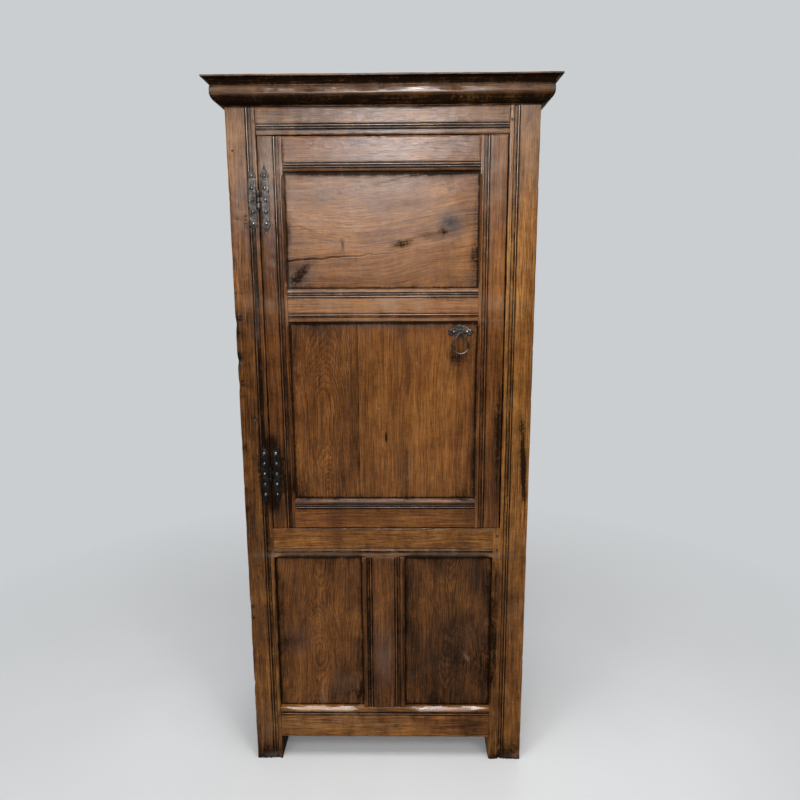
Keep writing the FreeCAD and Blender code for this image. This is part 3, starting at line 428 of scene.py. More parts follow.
# Marks on the front: x, z, reach across, reach up, amount and, where it leans, a turn in degrees
MARKS = {
    "dirt": [
        # left post, its edge and the channel beside the hinges
        (-378, 1200, 4, 420, 0.3), (-378, 500, 4, 380, 0.35), (-341, 1527, 6, 2.5, 0.8),
        (-342, 1518, 6, 2.5, 0.8), (-341, 1509, 6, 2.5, 0.7), (-340, 1500, 6, 2.5, 0.7),
        (-362, 1521, 6, 3, 0.5), (-372, 1420, 9, 12, 0.45), (-374, 1278, 12, 14, 0.6),
        (-378, 1248, 10, 24, 0.65), (-366, 1238, 15, 14, 0.3), (-377, 1172, 9, 17, 1.2),
        (-369, 1166, 9, 12, 0.5), (-370, 1113, 5, 4, 1.0), (-369, 1103, 5, 4, 0.9),
        (-353, 1098, 3, 3, 0.8), (-371, 1073, 8, 2.5, 0.6), (-341, 1012, 8, 7, 1.1),
        (-372, 932, 11, 15, 0.6), (-366, 905, 18, 30, 0.22), (-373, 820, 10, 15, 0.55),
        (-375, 762, 7, 11, 1.0), (-368, 745, 11, 17, 0.35), (-345, 1340, 30, 10, 0.2),
        (-322, 1130, 6, 150, 0.7), (-323, 1380, 6, 110, 0.3), (-323, 860, 6, 180, 0.3),
        (-345, 25, 60, 44, 0.4), (-328, 640, 10, 110, 0.35), (-372, 480, 5, 5, 0.6),
        (-372, 445, 5, 5, 0.6), (-356, 1650, 22, 6, 0.15),
        # right post and the stile beside it, with painted shade along the free stile's edge by the door gap
        (357, 990, 6, 24, 1.5), (360, 945, 6, 32, 1.4), (363, 900, 6, 36, 1.4), (366, 850, 6, 36, 1.4),
        (368, 805, 5, 28, 1.1), (297, 985, 7, 110, 0.8), (291, 1000, 14, 120, 0.45),
        (297, 840, 8, 80, 0.5), (319, 900, 6, 320, 0.15), (352, 500, 30, 22, 0.22), (350, 20, 60, 44, 0.5),
        (326, 1710, 4, 16, 0.5), (375, 1640, 4, 130, 0.25), (300, 450, 10, 120, 0.3),
        (296, 250, 9, 110, 0.3), (250, 1000, 5, 300, 0.25), (-257, 790, 5, 90, 0.6),
        (-257, 1110, 5, 220, 0.25),
        # hinges, with dirt round them and painted shade in the door gap between their leaves; the ring, with
        # a painted shadow below it and dirt round its plate
        (-322, 1565, 15, 86, 0.22), (-290, 1565, 15, 92, 0.22), (-306, 1565, 7, 40, 0.5),
        (-306, 868, 30, 76, 2.4), (-303, 945, 14, 16, 0.7), (-306, 785, 18, 24, 0.9),
        (184, 1174, 32, 20, 0.5), (186, 1140, 22, 30, 0.35), (195, 1238, 36, 16, 0.42),
        (197, 1208, 40, 40, 0.24), (180, 1200, 10, 26, 0.3, 20),
        # top panel
        (-203, 1392, 11, 30, 0.9, 40), (-222, 1372, 14, 13, 0.5, 35), (-225, 1395, 26, 34, 0.2),
        (46, 1458, 18, 9, 1.0), (62, 1464, 14, 6, 0.5, -20), (170, 1508, 28, 20, 0.48, 15),
        (148, 1488, 16, 9, 0.6, 20), (110, 1480, 30, 11, 0.42, 6), (-103, 1456, 2.5, 14, 0.62),
        (-106, 1466, 6, 4, 0.4, 30), (-70, 1422, 3, 11, 0.32, -8), (227, 1425, 9, 36, 0.75),
        (222, 1365, 14, 18, 0.35), (-238, 1485, 6, 30, 0.38), (-230, 1360, 22, 14, 0.25),
        # (0, 1622) is a painted shadow under the top rail
        (228, 1540, 5, 60, 0.3), (60, 1556, 30, 10, 0.18, -12), (0, 1622, 240, 5, 0.25),
        # large door panel
        (-100, 1050, 26, 90, 0.16), (-74, 960, 3, 170, 0.34), (62, 1135, 9, 38, 0.3),
        (55, 890, 9, 52, 0.36), (57, 835, 5, 16, 0.3), (2, 960, 3.0, 13, 0.75), (-6, 905, 12, 10, 0.28),
        (-235, 818, 40, 30, 0.52), (216, 806, 18, 24, 0.46), (232, 850, 6, 60, 0.3),
        (-190, 1245, 50, 14, 0.25), (-85, 1215, 30, 26, 0.2), (20, 1215, 34, 22, 0.16),
        (-232, 1190, 8, 60, 0.3), (60, 1240, 10, 3, 0.4, -10), (-150, 950, 40, 16, 0.12),
        # fixed panels and the muntin
        (-50, 400, 8, 230, 0.55), (30, 400, 6, 230, 0.3), (-325, 350, 7, 250, 0.2),
        (-312, 350, 6, 250, 0.2), (297, 400, 9, 230, 0.5), (-262, 368, 28, 22, 0.4),
        (-292, 490, 10, 50, 0.45), (-292, 400, 10, 60, 0.35), (-90, 250, 34, 44, 0.34),
        (-120, 205, 50, 26, 0.26), (-148, 560, 2.5, 60, 0.34), (-100, 370, 40, 8, 0.22),
        (-80, 200, 16, 30, 0.4), (240, 350, 44, 66, 0.4), (230, 430, 36, 26, 0.3, 30),
        (205, 300, 30, 30, 0.26), (262, 300, 26, 70, 0.34), (90, 410, 34, 16, 0.24),
        (110, 220, 60, 40, 0.2), (70, 480, 16, 90, 0.24), (180, 190, 90, 26, 0.24),
        (275, 560, 14, 60, 0.25), (27, 470, 5, 10, 0.4),
        # rails
        (-230, 110, 30, 12, 0.2), (240, 100, 40, 30, 0.2), (-140, 780, 26, 10, 0.16),
        (280, 682, 10, 30, 0.2),
    ],
    "gold": [
        (352, 1200, 20, 230, 0.45), (350, 1040, 16, 60, 0.5), (345, 1420, 16, 80, 0.25),
        (305, 1150, 4, 300, 0.3), (180, 1580, 60, 26, 0.4), (205, 1430, 22, 34, 0.42),
        (150, 1585, 30, 12, 0.2), (-232, 980, 9, 110, 0.4), (150, 1050, 60, 60, 0.28),
        (-20, 1090, 30, 90, 0.25), (-170, 900, 26, 40, 0.16), (100, 860, 40, 40, 0.2),
        (195, 510, 40, 50, 0.3), (150, 560, 30, 40, 0.18), (175, 440, 14, 50, 0.18),
        (-5, 560, 22, 60, 0.24), (-350, 1420, 16, 40, 0.24), (-352, 1210, 12, 40, 0.24),
        (-350, 1060, 14, 40, 0.2), (-345, 730, 12, 60, 0.2), (-290, 110, 60, 26, 0.2),
        (-180, 105, 90, 18, 0.2), (-340, 250, 14, 60, 0.12), (0, 1308, 240, 10, 0.12),
    ],
    "shade": [
        (-345, 800, 40, 500, -0.16), (-345, 1250, 40, 200, -0.12), (270, 1050, 30, 220, -0.16),
        (0, 820, 240, 60, -0.06), (350, 300, 30, 260, -0.15), (300, 380, 14, 240, -0.25),
        (280, 800, 26, 120, -0.16), (-290, 760, 24, 60, -0.26), (-10, 1306, 260, 36, 0.5),
        (230, 105, 70, 40, -0.34), (-230, 108, 90, 40, 0.12), (-185, 220, 18, 50, 0.22),
        (-230, 690, 90, 30, 0.1), (-150, 745, 110, 34, -0.1), (150, 745, 110, 34, 0.1),
        (0, 1720, 300, 7, -0.22), (-190, 1590, 70, 40, -0.07), (190, 1590, 60, 40, -0.07),
        (190, 1400, 60, 40, 0.08), (-200, 830, 60, 50, -0.1), (-190, 560, 90, 60, -0.08),
        # (196, 1215) darkens round the ring with its painted shadow; (270, 1640) and (-275, 1640) on the
        # next line lighten the stiles' tops as painted sheen
        (196, 1215, 50, 50, -0.1), (60, 1400, 180, 60, 0.14), (270, 1640, 30, 90, 0.1),
        (-275, 1640, 30, 90, 0.08), (-345, 250, 40, 130, 0.12), (-190, 1040, 30, 120, 0.1),
        (150, 250, 130, 110, -0.12),
    ],
    "bloom": [
        (-215, 1385, 34, 40, 0.5), (-236, 1480, 8, 60, 0.4), (166, 1508, 34, 26, 1.0, 20),
        (110, 1478, 50, 12, 0.3, 10), (-10, 340, 26, 70, 0.45), (0, 1254, 260, 9, 0.45),
        (-120, 225, 46, 40, 0.35), (-250, 370, 40, 40, 0.3), (0, 1395, 240, 40, 0.12),
        (225, 1360, 20, 26, 0.4), (55, 880, 12, 60, 0.25), (236, 1000, 6, 200, 0.35),
        (250, 380, 40, 60, 0.25), (352, 480, 26, 40, 0.2), (-60, 1570, 120, 26, 0.18, 6),
        (360, 1740, 20, 60, 0.3), (-350, 100, 40, 60, 0.2),
    ],
    "dust_and_sheen": [
        # the first two are painted reflections on the sill's lower chamfers, the third a painted highlight
        # on the middle rail's lower arris
        (-190, 631, 130, 7, 0.8), (170, 631, 130, 7, 0.75), (0, 1268, 250, 3, 0.5),
        # the first two are painted glints in a knot and a dent, the third is pale dust in the channel
        (-371, 1161, 4, 5, 0.6), (-342, 1010, 3, 3, 0.6), (-326, 1243, 4, 26, 0.35),
        # after a pale scratch, this line and the next are painted sheen on the tops of the posts, the
        # frieze, the hinge stile and the top rail
        (-376, 1284, 9, 2.5, 0.5), (-345, 1680, 50, 130, 0.2), (350, 1690, 44, 110, 0.26),
        (0, 1755, 400, 30, 0.2), (-275, 1650, 34, 90, 0.5), (0, 1680, 300, 40, 0.14),
        # painted sheen on the middle rail, paler dust along the bottom rail, painted sheen on the free
        # stile's top
        (0, 1308, 260, 26, 0.55), (-120, 120, 200, 34, 0.12), (270, 1640, 30, 90, 0.3),
        # (-185, 190) is a pale mark; (-228, 1590), (-150, 1606) and (-40, 1612) on the next line are painted
        # sheen on the top panel
        (-185, 190, 10, 26, 0.2), (-228, 1590, 14, 30, 0.2), (-150, 1606, 40, 16, 0.14),
        (-40, 1612, 60, 16, 0.25), (222, 318, 4, 14, 0.5, -30), (-18, 1038, 4, 3, 0.45),
        (82, 1157, 3, 4, 0.4), (-340, 12, 30, 9, 0.4), (-5, 300, 18, 60, 0.1), (355, 12, 24, 8, 0.2),
    ],
    "rub_and_highlight": [
        # the first three are painted highlights on the sill's bead and on beads of the left post and the
        # hinge stile, the last is rubbed wear
        (-20, 647, 330, 3, 0.6), (-326, 1310, 3, 90, 0.5), (-240, 1330, 6, 60, 0.5),
        (-150, 50, 90, 6, 0.2),
    ],
}

# Fine lines on the front: amount of dirt, width, and the points that each one passes
SCRATCHES = [
    (0.34, 1.3, [(-216, 1506), (-190, 1494), (-150, 1480), (-120, 1473)]),
    (0.42, 2.0, [(-236, 1190), (-226, 1100), (-216, 1040), (-205, 985), (-192, 910), (-180, 840)]),
    (0.30, 1.6, [(-148, 620), (-150, 480), (-147, 330)]),
    (0.35, 1.4, [(-20, 1600), (60, 1620), (120, 1624)]),
    (0.30, 1.6, [(-360, 210), (-335, 165), (-322, 150)]),
    (0.30, 1.6, [(-250, 128), (-120, 120), (-20, 126)]),
    (0.30, 1.6, [(-60, 100), (60, 108), (170, 100), (240, 106)]),
    (0.50, 1.6, [(-386, 1339), (-360, 1338), (-346, 1341)]),
    (0.40, 1.6, [(-386, 1328), (-350, 1326)]),
    (0.60, 1.8, [(-386, 1281), (-362, 1282)]),
    (0.50, 1.6, [(-372, 1272), (-352, 1268), (-334, 1261)]),
    (0.35, 1.5, [(95, 560), (125, 480), (160, 410), (172, 360)]),
    (0.28, 1.5, [(230, 470), (205, 420), (180, 370)]),
]


def from_line(x, z, points):
    """Distance from places on the front to a line of points."""
    least = np.full_like(x, 1e9)
    for (x0, z0), (x1, z1) in zip(points, points[1:]):
        length = math.hypot(x1 - x0, z1 - z0)
        share = np.clip(((x - x0) * (x1 - x0) + (z - z0) * (z1 - z0)) / length ** 2, 0, 1)
        least = np.minimum(least, np.hypot(x - x0 - share * (x1 - x0), z - z0 - share * (z1 - z0)))
    return least


def marked(part):
    """Add the marks and scratches of the front to a part."""
    x, z = part["rings"][..., 0], part["rings"][..., 2]
    for kind, marks in MARKS.items():
        for mark_x, mark_z, reach, rise, amount, *turn in marks:
            angle = math.radians(turn[0]) if turn else 0.0
            side = (x - mark_x) * math.cos(angle) - (z - mark_z) * math.sin(angle)
            up = (x - mark_x) * math.sin(angle) + (z - mark_z) * math.cos(angle)
            part[kind] = part[kind] + part["show"] * amount * hump(side, reach) * hump(up, rise)
    for amount, width, points in SCRATCHES:
        part["dirt"] = part["dirt"] + part["show"] * amount * hump(from_line(x, z, points), width)


def build(name, parts, material, body, nodes, sharp=38.0):
    """One object from rings of points, riding on its body in place of its nodes."""
    points, faces = [], []
    first = 0
    for part in parts:
        count, size = part["rings"].shape[:2]
        faces += ring_faces(count, size, part.get("loop", False), first)
        points.append(part["rings"].reshape(-1, 3))
        first += count * size
        if part.get("facing") == "front":
            marked(part)
    mesh = bpy.data.meshes.new(name)
    mesh.from_pydata((np.vstack(points) * MM).tolist(), [], faces)
    if "grain" in parts[0]:
        layers = {"grain": [part["grain"] for part in parts]}
        for layer, kinds in (("finish", ("dirt", "rub_and_highlight", "dust_and_sheen")), ("tone", ("shade", "gold", "bloom"))):
            layers[layer] = [np.stack([part[kind] for kind in kinds], -1) for part in parts]
        for layer, values in layers.items():
            attribute = mesh.attributes.new(layer, "FLOAT_VECTOR", "POINT")
            stacked = np.vstack([value.reshape(-1, 3) for value in values])
            attribute.data.foreach_set("vector", stacked.astype(np.float32).ravel())
    shell = bmesh.new()
    shell.from_mesh(mesh)
    bmesh.ops.recalc_face_normals(shell, faces=shell.faces)
    shell.to_mesh(mesh)
    shell.free()
    mesh.shade_smooth()
    mesh.set_sharp_from_angle(angle=math.radians(sharp))
    mesh.materials.append(material)
    piece = bpy.data.objects.new(name, mesh)
    bpy.context.scene.collection.objects.link(piece)
    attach(piece, body)
    if nodes:
        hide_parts(*nodes)
    return piece


# Materials
RING = 0.0029


def colour(red, green, blue):
    """A colour as it looks on a screen, from 0 to 255, as light."""
    linear = []
    for value in (red, green, blue):
        share = value / 255
        linear.append(share / 12.92 if share <= 0.04045 else ((share + 0.055) / 1.055) ** 2.4)
    return (*linear, 1.0)


class Graph:
    """The nodes of a material or of the world, added one after another."""

    def __init__(self, owner, output="OutputMaterial"):
        owner.use_nodes = True
        self.owner = owner
        self.output = output
        self.tree = owner.node_tree
        self.tree.nodes.clear()

    def add(self, kind, inputs=(), **settings):
        node = self.tree.nodes.new("ShaderNode" + kind)
        for key, value in settings.items():
            setattr(node, key, value)
        for key, value in dict(inputs).items():
            if isinstance(value, bpy.types.NodeSocket):
                self.tree.links.new(value, node.inputs[key])
            else:
                node.inputs[key].default_value = value
        return node

    def place(self):
        return self.add("TexCoord").outputs["Object"]

    def split(self, vector):
        return self.add("SeparateXYZ", {0: vector}).outputs

    def attribute(self, name):
        return self.add("Attribute", attribute_name=name).outputs["Vector"]

    def math(self, operation, first, second=0.0, third=0.0, clamp=False):
        inputs = {0: first, 1: second, 2: third}
        return self.add("Math", inputs, operation=operation, use_clamp=clamp).outputs[0]

    def times(self, first, second, clamp=False):
        return self.math("MULTIPLY", first, second, clamp=clamp)

    def times_plus(self, first, second, third, clamp=False):
        return self.math("MULTIPLY_ADD", first, second, third, clamp)

    def noise(self, vector, scale, detail=2.0, roughness=0.5):
        stretched = self.add("VectorMath", {0: vector, 1: scale}, operation="MULTIPLY").outputs[0]
        inputs = {"Vector": stretched, "Scale": 1.0, "Detail": detail, "Roughness": roughness}
        return self.add("TexNoise", inputs).outputs["Fac"]

    def spread(self, value, low, high, to_low=0.0, to_high=1.0):
        inputs = {"Value": value, "From Min": low, "From Max": high, "To Min": to_low, "To Max": to_high}
        return self.add("MapRange", inputs, clamp=True).outputs[0]

    def ramp(self, value, stops):
        node = self.add("ValToRGB", {"Fac": value})
        band = node.color_ramp
        band.elements[0].position, band.elements[0].color = stops[0]
        band.elements[1].position, band.elements[1].color = stops[-1]
        for position, shade in stops[1:-1]:
            band.elements.new(position).color = shade
        return node.outputs["Color"]

    def mix(self, share, first, second, blend="MIX"):
        inputs = {0: share, 6: first, 7: second}
        return self.add("Mix", inputs, data_type="RGBA", blend_type=blend).outputs[2]

    def bump(self, distance, height):
        return self.add("Bump", {"Strength": 0.5, "Distance": distance, "Height": height}).outputs[0]

    def finish(self, shader):
        output = self.add(self.output)
        self.tree.links.new(shader.outputs[0], output.inputs["Surface"])
        return self.owner


def material_graph(name):
    return Graph(bpy.data.materials.new(name))


def oak(name, dark, middle, light, rings=1.0, contrast=1.0, mottle=0.45, rough=0.36, flecks=0.5):
    """Old oak with growth rings, pores, streaks, and dirt with painted shade, rub with painted highlights
    and dust with painted sheen where the mesh says.
    """
    g = material_graph(name)
    grain = g.attribute("grain")
    axes = g.split(grain)
    dirt, rub_and_highlight, dust_and_sheen = g.split(g.attribute("finish"))
    shade, gold, bloom = g.split(g.attribute("tone"))
    place = g.place()

    # growth rings about the heart of the tree
    drift = g.noise(grain, (3.0, 16.0, 16.0), 3.0)
    fine_drift = g.noise(grain, (14.0, 90.0, 90.0), 2.0)
    across_2 = g.times(axes[1], axes[1])
    radius = g.math("SQRT", g.times_plus(axes[2], axes[2], across_2))
    radius = g.times_plus(drift, 0.012, radius)
    radius = g.times_plus(fine_drift, 0.0034, radius)
    year = g.math("FRACT", g.math("DIVIDE", radius, RING))
    early_share = ((0.0, 1), (0.30, 0.35), (0.62, 0), (0.92, 0), (1.0, 0.9))
    early = g.ramp(year, [(position, (share, share, share, 1)) for position, share in early_share])

    # pores and short dark flecks, streaks and fibres along the grain, clouds across it
    pores = g.spread(g.noise(grain, (40.0, 640.0, 160.0), 1.5), 0.50, 0.66)
    pores = g.times(pores, g.times_plus(early, 0.6, 0.4))
    fleck = g.spread(g.noise(grain, (22.0, 520.0, 130.0), 2.0, 0.6), 0.52, 0.66)
    streaks = g.noise(grain, (1.1, 42.0, 42.0), 4.0, 0.6)
    fibres = g.noise(grain, (9.0, 430.0, 110.0), 4.0, 0.65)
    lines = g.noise(grain, (5.0, 200.0, 25.0), 3.0, 0.6)
    rays = g.noise(grain, (150.0, 70.0, 70.0), 3.0, 0.6)
    cloud = g.noise(place, (7.0, 7.0, 4.5), 5.0, 0.6)
    patch = g.noise(place, (26.0, 26.0, 17.0), 5.0, 0.62)
    specks = g.noise(place, (170.0, 170.0, 120.0), 2.0, 0.6)

    # the bare wood, from dark to light and from brown to gold
    value = 0.5
    for layer, weight in ((streaks, 0.50 * contrast), (fibres, contrast), (lines, 0.6 * contrast),
                          (rays, 0.35), (cloud, 0.75), (patch, mottle)):
        value = g.times_plus(g.math("ADD", layer, -0.5), weight, value)
    value = g.times_plus(g.math("ADD", early, -0.25), -0.30 * rings, value)
    value = g.math("ADD", value, shade)
    dark, middle, light = (colour(*screen) for screen in (dark, middle, light))
    wood = g.ramp(value, [(0.0, dark), (0.5, middle), (1.0, light)])
    ruddy = g.spread(g.noise(place, (4.0, 4.0, 2.6), 3.0), 0.40, 0.66, 0.0, 0.30)
    wood = g.mix(ruddy, wood, colour(255, 226, 205), "MULTIPLY")
    golden = g.ramp(value, [(0.1, colour(92, 55, 20)), (0.5, colour(150, 98, 42)),
                            (0.9, colour(190, 136, 70))])
    wood = g.mix(g.times(gold, 0.8, clamp=True), wood, golden)
    wood = g.mix(g.times(pores, 0.55), wood, colour(30, 17, 9))
    wood = g.mix(g.times(fleck, flecks), wood, colour(38, 21, 11))

    # rubbed places and painted highlights, a grey bloom of old wax, grime and painted shade, dust and
    # painted sheen, each broken up by the noises
    worn = g.times(rub_and_highlight, g.spread(patch, 0.38, 0.62, 0.10, 0.60), clamp=True)
    wood = g.mix(worn, wood, light)
    haze = g.times(bloom, g.spread(patch, 0.35, 0.65, 0.6, 1.2), clamp=True)
    wood = g.mix(haze, wood, colour(82, 70, 65))
    broken = g.math("ADD", patch, g.math("ADD", specks, fibres))
    grime_and_shade = g.times(dirt, g.spread(broken, 1.15, 1.85, 1.9, 0.3), clamp=True)
    wood = g.mix(g.times(grime_and_shade, 0.92), wood, colour(20, 13, 9))
    powder_and_sheen = g.times(dust_and_sheen, g.spread(patch, 0.35, 0.65, 0.25, 1.0), clamp=True)
    wood = g.mix(powder_and_sheen, wood, colour(138, 128, 118))

    # polish and relief
    gloss = g.times_plus(streaks, 0.12, rough - 0.06)
    gloss = g.times_plus(patch, 0.16, g.math("ADD", gloss, -0.08))
    gloss = g.times_plus(pores, 0.18, gloss)
    gloss = g.times_plus(rub_and_highlight, -0.12, gloss)
    gloss = g.times_plus(grime_and_shade, 0.15, gloss, clamp=True)
    polish = g.times_plus(rub_and_highlight, 0.7, g.times_plus(grime_and_shade, -0.28, 0.30), clamp=True)
    relief = g.times_plus(pores, -0.6, g.times(early, -0.25))
    relief = g.times_plus(fleck, -0.5, relief)
    relief = g.times_plus(fibres, 0.5, relief)
    surface = {"Base Color": wood, "Roughness": gloss, "Specular IOR Level": polish,
               "Normal": g.bump(0.00008, relief)}
    return g.finish(g.add("BsdfPrincipled", surface))


def peg_oak():
    """End grain of the draw pegs, dark and close."""
    g = material_graph("peg_oak")
    place = g.place()
    grain = g.noise(place, (700.0, 160.0, 700.0), 3.0)
    cloud = g.noise(place, (60.0, 60.0, 60.0), 2.0)
    wood = g.ramp(grain, [(0.25, colour(48, 29, 16)), (0.55, colour(86, 53, 29)),
                          (0.85, colour(116, 74, 40))])
    wood = g.mix(g.spread(cloud, 0.40, 0.75), wood, colour(50, 30, 18))
    rough = g.spread(grain, 0.2, 0.8, 0.4, 0.65)
    return g.finish(g.add("BsdfPrincipled", {"Base Color": wood, "Roughness": rough}))


def iron(name, dark, light, bright, rough=0.46):
    """Forged iron: hammered, blackened, and rubbed brighter in places."""
    g = material_graph(name)
    place = g.place()
    blows = g.add("TexVoronoi", {"Vector": place, "Scale": 190.0, "Randomness": 1.0}, feature="SMOOTH_F1")
    scale = g.noise(place, (260.0, 260.0, 260.0), 4.0, 0.6)
    patches = g.noise(place, (55.0, 55.0, 55.0), 3.0, 0.6)
    dark, light, bright = (colour(*screen) for screen in (dark, light, bright))
    metal = g.ramp(patches, [(0.30, dark), (0.52, light), (0.74, bright)])
    metal = g.mix(g.spread(scale, 0.48, 0.68, 0.0, 0.5), metal, dark)
    shine = g.spread(scale, 0.25, 0.75, rough - 0.10, rough + 0.14)
    relief = g.times_plus(scale, 0.6, blows.outputs["Distance"])
    surface = {"Base Color": metal, "Metallic": 0.85, "Roughness": shine, "Normal": g.bump(0.0005, relief)}
    return g.finish(g.add("BsdfPrincipled", surface))


OAK = {
    "carcass": oak("oak_carcass", (46, 26, 10), (114, 71, 30), (167, 116, 60),
                   contrast=1.3, mottle=0.9, rough=0.22, flecks=0.7),
    "door": oak("oak_door", (44, 24, 9), (109, 66, 28), (160, 107, 56),
                contrast=1.3, mottle=0.6, rough=0.20),
    "panel": oak("oak_panel", (44, 24, 8), (111, 68, 29), (160, 107, 53),
                 rings=0.9, contrast=1.2, mottle=0.55, rough=0.20, flecks=0.55),
    "top_panel": oak("oak_top_panel", (52, 30, 14), (117, 75, 38), (167, 117, 67), rings=0.45, rough=0.21),
    "cornice": oak("oak_cornice", (34, 19, 7), (84, 52, 21), (138, 92, 46), rough=0.17, flecks=0.35),
    "inside": oak("oak_inside", (58, 38, 22), (104, 74, 46), (146, 110, 74), rough=0.62),
}
PEG = peg_oak()
GREY_IRON = iron("grey_iron", (46, 42, 40), (78, 72, 68), (112, 106, 101))
PULL_IRON = iron("pull_iron", (44, 41, 40), (86, 80, 77), (136, 129, 124), rough=0.30)
BLACK_IRON = iron("black_iron", (20, 17, 16), (32, 29, 27), (58, 55, 52))
STUD_IRON = iron("stud_iron", (60, 57, 54), (120, 116, 112), (190, 186, 181), rough=0.16)


# Sunk bands of the front: how far in from the edge, how wide, and how many beads stand in each
POST_BAND = (10, 15.5, 1)
FRIEZE_BAND = (12, 15, 2)
RAIL_BAND = (14, 11.5, 1)
MUNTIN_BAND = (12, 15.5, 1)
STILE_BAND = (8.5, 15.5, 1)
DOOR_TOP_BAND = (5, 15, 2)
DOOR_MID_TOP_BAND = (8, 15, 2)
DOOR_MID_LOW_BAND = (9, 11.5, 1)
DOOR_LOW_BAND = (11.5, 15, 2)

# How far the stopped chamfers stay from the rails, and where the long ones run
LOW_REST = 10.0
DOOR_REST = 8.0
LOW_OPENING = (RAIL_HIGH + LOW_REST, SILL_LOW - LOW_REST)
DOOR_OPENINGS = ((DOOR_MID_HIGH + DOOR_REST, DOOR_TOP_LOW - DOOR_REST),
                 (DOOR_LOW_HIGH + DOOR_REST, DOOR_MID_LOW - DOOR_REST))
LENSES = ((LEFT_IN + 1, MUNTIN_LEFT + 14), (MUNTIN_RIGHT - 14, FOOT_IN - 1))
FULL_RUN = (-900, 900)
FINE = {"pitch": 2.8, "step": 3.2}


def member(node, wood, facing, run, tenons=0.0, look="", **details):
    """One oak node, without its tenons: kind of oak, face, axis of the grain and the bar's details."""
    low, high = corners(node)
    low[AXES[run]] += tenons
    high[AXES[run]] -= tenons
    part = bar(node, low, high, facing, run, **details)
    return build(node + "_oak", [part], OAK[look or wood], BODY_OF[node], [node])


member("front_left_post", "carcass", "front", "z", mouldings=[moulding(LEFT_IN, -1, *POST_BAND)],
       chamfers=[stopped("high", LOW_OPENING)], gap="high",
       nicks=[("low", 1262, 3.4, 14), ("low", 1165, 2.8, 12), ("low", 1102, 3.0, 16), ("low", 1560, 1.6, 9),
              ("low", 470, 2.2, 20), ("low", 240, 2.0, 12)],
       grain={"pith": (95, 30), "lean": (0.004, 0.0)}, shade=-0.02, gold=0.12, ragged=2.5, wear=1.5, **FINE)

# The right post is wider below the door, so it is two bars
post_low, post_high = corners("front_right_post")
knee = np.array([post_high[0], post_high[1], SILL_HIGH])
upper_low = np.array([RIGHT_IN, post_low[1], SILL_HIGH])
post_look = {"mouldings": [moulding(RIGHT_IN, 1, *POST_BAND)], "square": True, "shade": 0.08, "gold": 0.30,
             "grain": {"pith": (-110, 25), "lean": (-0.004, 0.0)}, "wear": 1.2, **FINE}
post_parts = [bar("front_right_post", post_low, knee, "front", "z", ragged=2.5,
                  chamfers=[stopped("low", LOW_OPENING)], **post_look),
              bar("front_right_post", upper_low, post_high, "front", "z", gap="low", **post_look)]
build("front_right_post_oak", post_parts, OAK["carcass"], "carcass", ["front_right_post"])

member("frieze_rail", "carcass", "front", "x", TENON, mouldings=[moulding(FRIEZE_LOW, 1, *FRIEZE_BAND)],
       gap="low", grain={"pith": (70, 35)}, shade=0.02)
member("sill_rail", "carcass", "front", "x", TENON, mouldings=[moulding(SILL_LOW, 1, *RAIL_BAND)],
       chamfers=[Chamfer("low", *lens, LENS, SILL_STOP, 0.95) for lens in LENSES],
       gap="high", grain={"pith": (60, 30)}, shade=0.05)
member("bottom_rail", "carcass", "front", "x", TENON, mouldings=[moulding(RAIL_HIGH, -1, *RAIL_BAND)],
       chamfers=[Chamfer("high", *lens, LENS, LENS_STOP, 0.575) for lens in LENSES],
       grain={"pith": (20, 34)}, shade=0.08, gold=0.05)
member("lower_muntin", "door", "front", "z", TENON,
       mouldings=[moulding(MUNTIN_LEFT, 1, *MUNTIN_BAND), moulding(MUNTIN_RIGHT, -1, *MUNTIN_BAND)],
       chamfers=[stopped(edge, LOW_OPENING) for edge in ("low", "high")],
       grain={"pith": (80, 30)}, shade=-0.17)
member("lower_left_panel", "panel", "front", "z", edge_dirt=0.6, shade=-0.08,
       grain={"pith": (-4, 56), "lean": (0.01, 0.08), "wave": 10.0}, **FINE)
member("lower_right_panel", "panel", "front", "z", edge_dirt=0.65, shade=-0.27,
       grain={"pith": (6, 58), "lean": (0.0, -0.085), "wave": 8.0}, **FINE)

# The door
member("door_hinge_stile", "door", "front", "z", mouldings=[moulding(STILE_IN_LEFT, -1, *STILE_BAND)],
       chamfers=[stopped("high", opening) for opening in DOOR_OPENINGS],
       gap="low", grain={"pith": (90, 25)}, shade=-0.09)
member("door_free_stile", "door", "front", "z", mouldings=[moulding(STILE_IN_RIGHT, 1, *STILE_BAND)],
       chamfers=[stopped("low", opening) for opening in DOOR_OPENINGS],
       gap="high", grain={"pith": (-100, 25)})
member("door_top_rail", "door", "front", "x", TENON, mouldings=[moulding(DOOR_TOP_LOW, 1, *DOOR_TOP_BAND)],
       gap="high", grain={"pith": (30, 40), "knots": [(-130, 1690, 30, 16, 9)]})
RAIL_TOP = Chamfer("high", *FULL_RUN, RAIL_CHAMFER, 0, 1.0)
member("door_middle_rail", "door", "front", "x", TENON, chamfers=[RAIL_TOP],
       mouldings=[moulding(DOOR_MID_HIGH, -1, *DOOR_MID_TOP_BAND),
                  moulding(DOOR_MID_LOW, 1, *DOOR_MID_LOW_BAND)],
       grain={"pith": (50, 30)}, shade=0.10)
member("door_bottom_rail", "door", "front", "x", TENON, chamfers=[RAIL_TOP],
       mouldings=[moulding(DOOR_LOW_HIGH, -1, *DOOR_LOW_BAND)],
       gap="low", grain={"pith": (55, 30)}, shade=-0.07)
CRACK = {"level": 1417.0, "start": -252.0, "end": 16.0, "rise": 18.0, "wander": 1.2, "deep": 3.0,
         "both": False}
SLIT = {"level": 2.0, "start": 945.0, "end": 974.0, "rise": -2.0, "wander": 0.5, "deep": 3.0, "both": True}
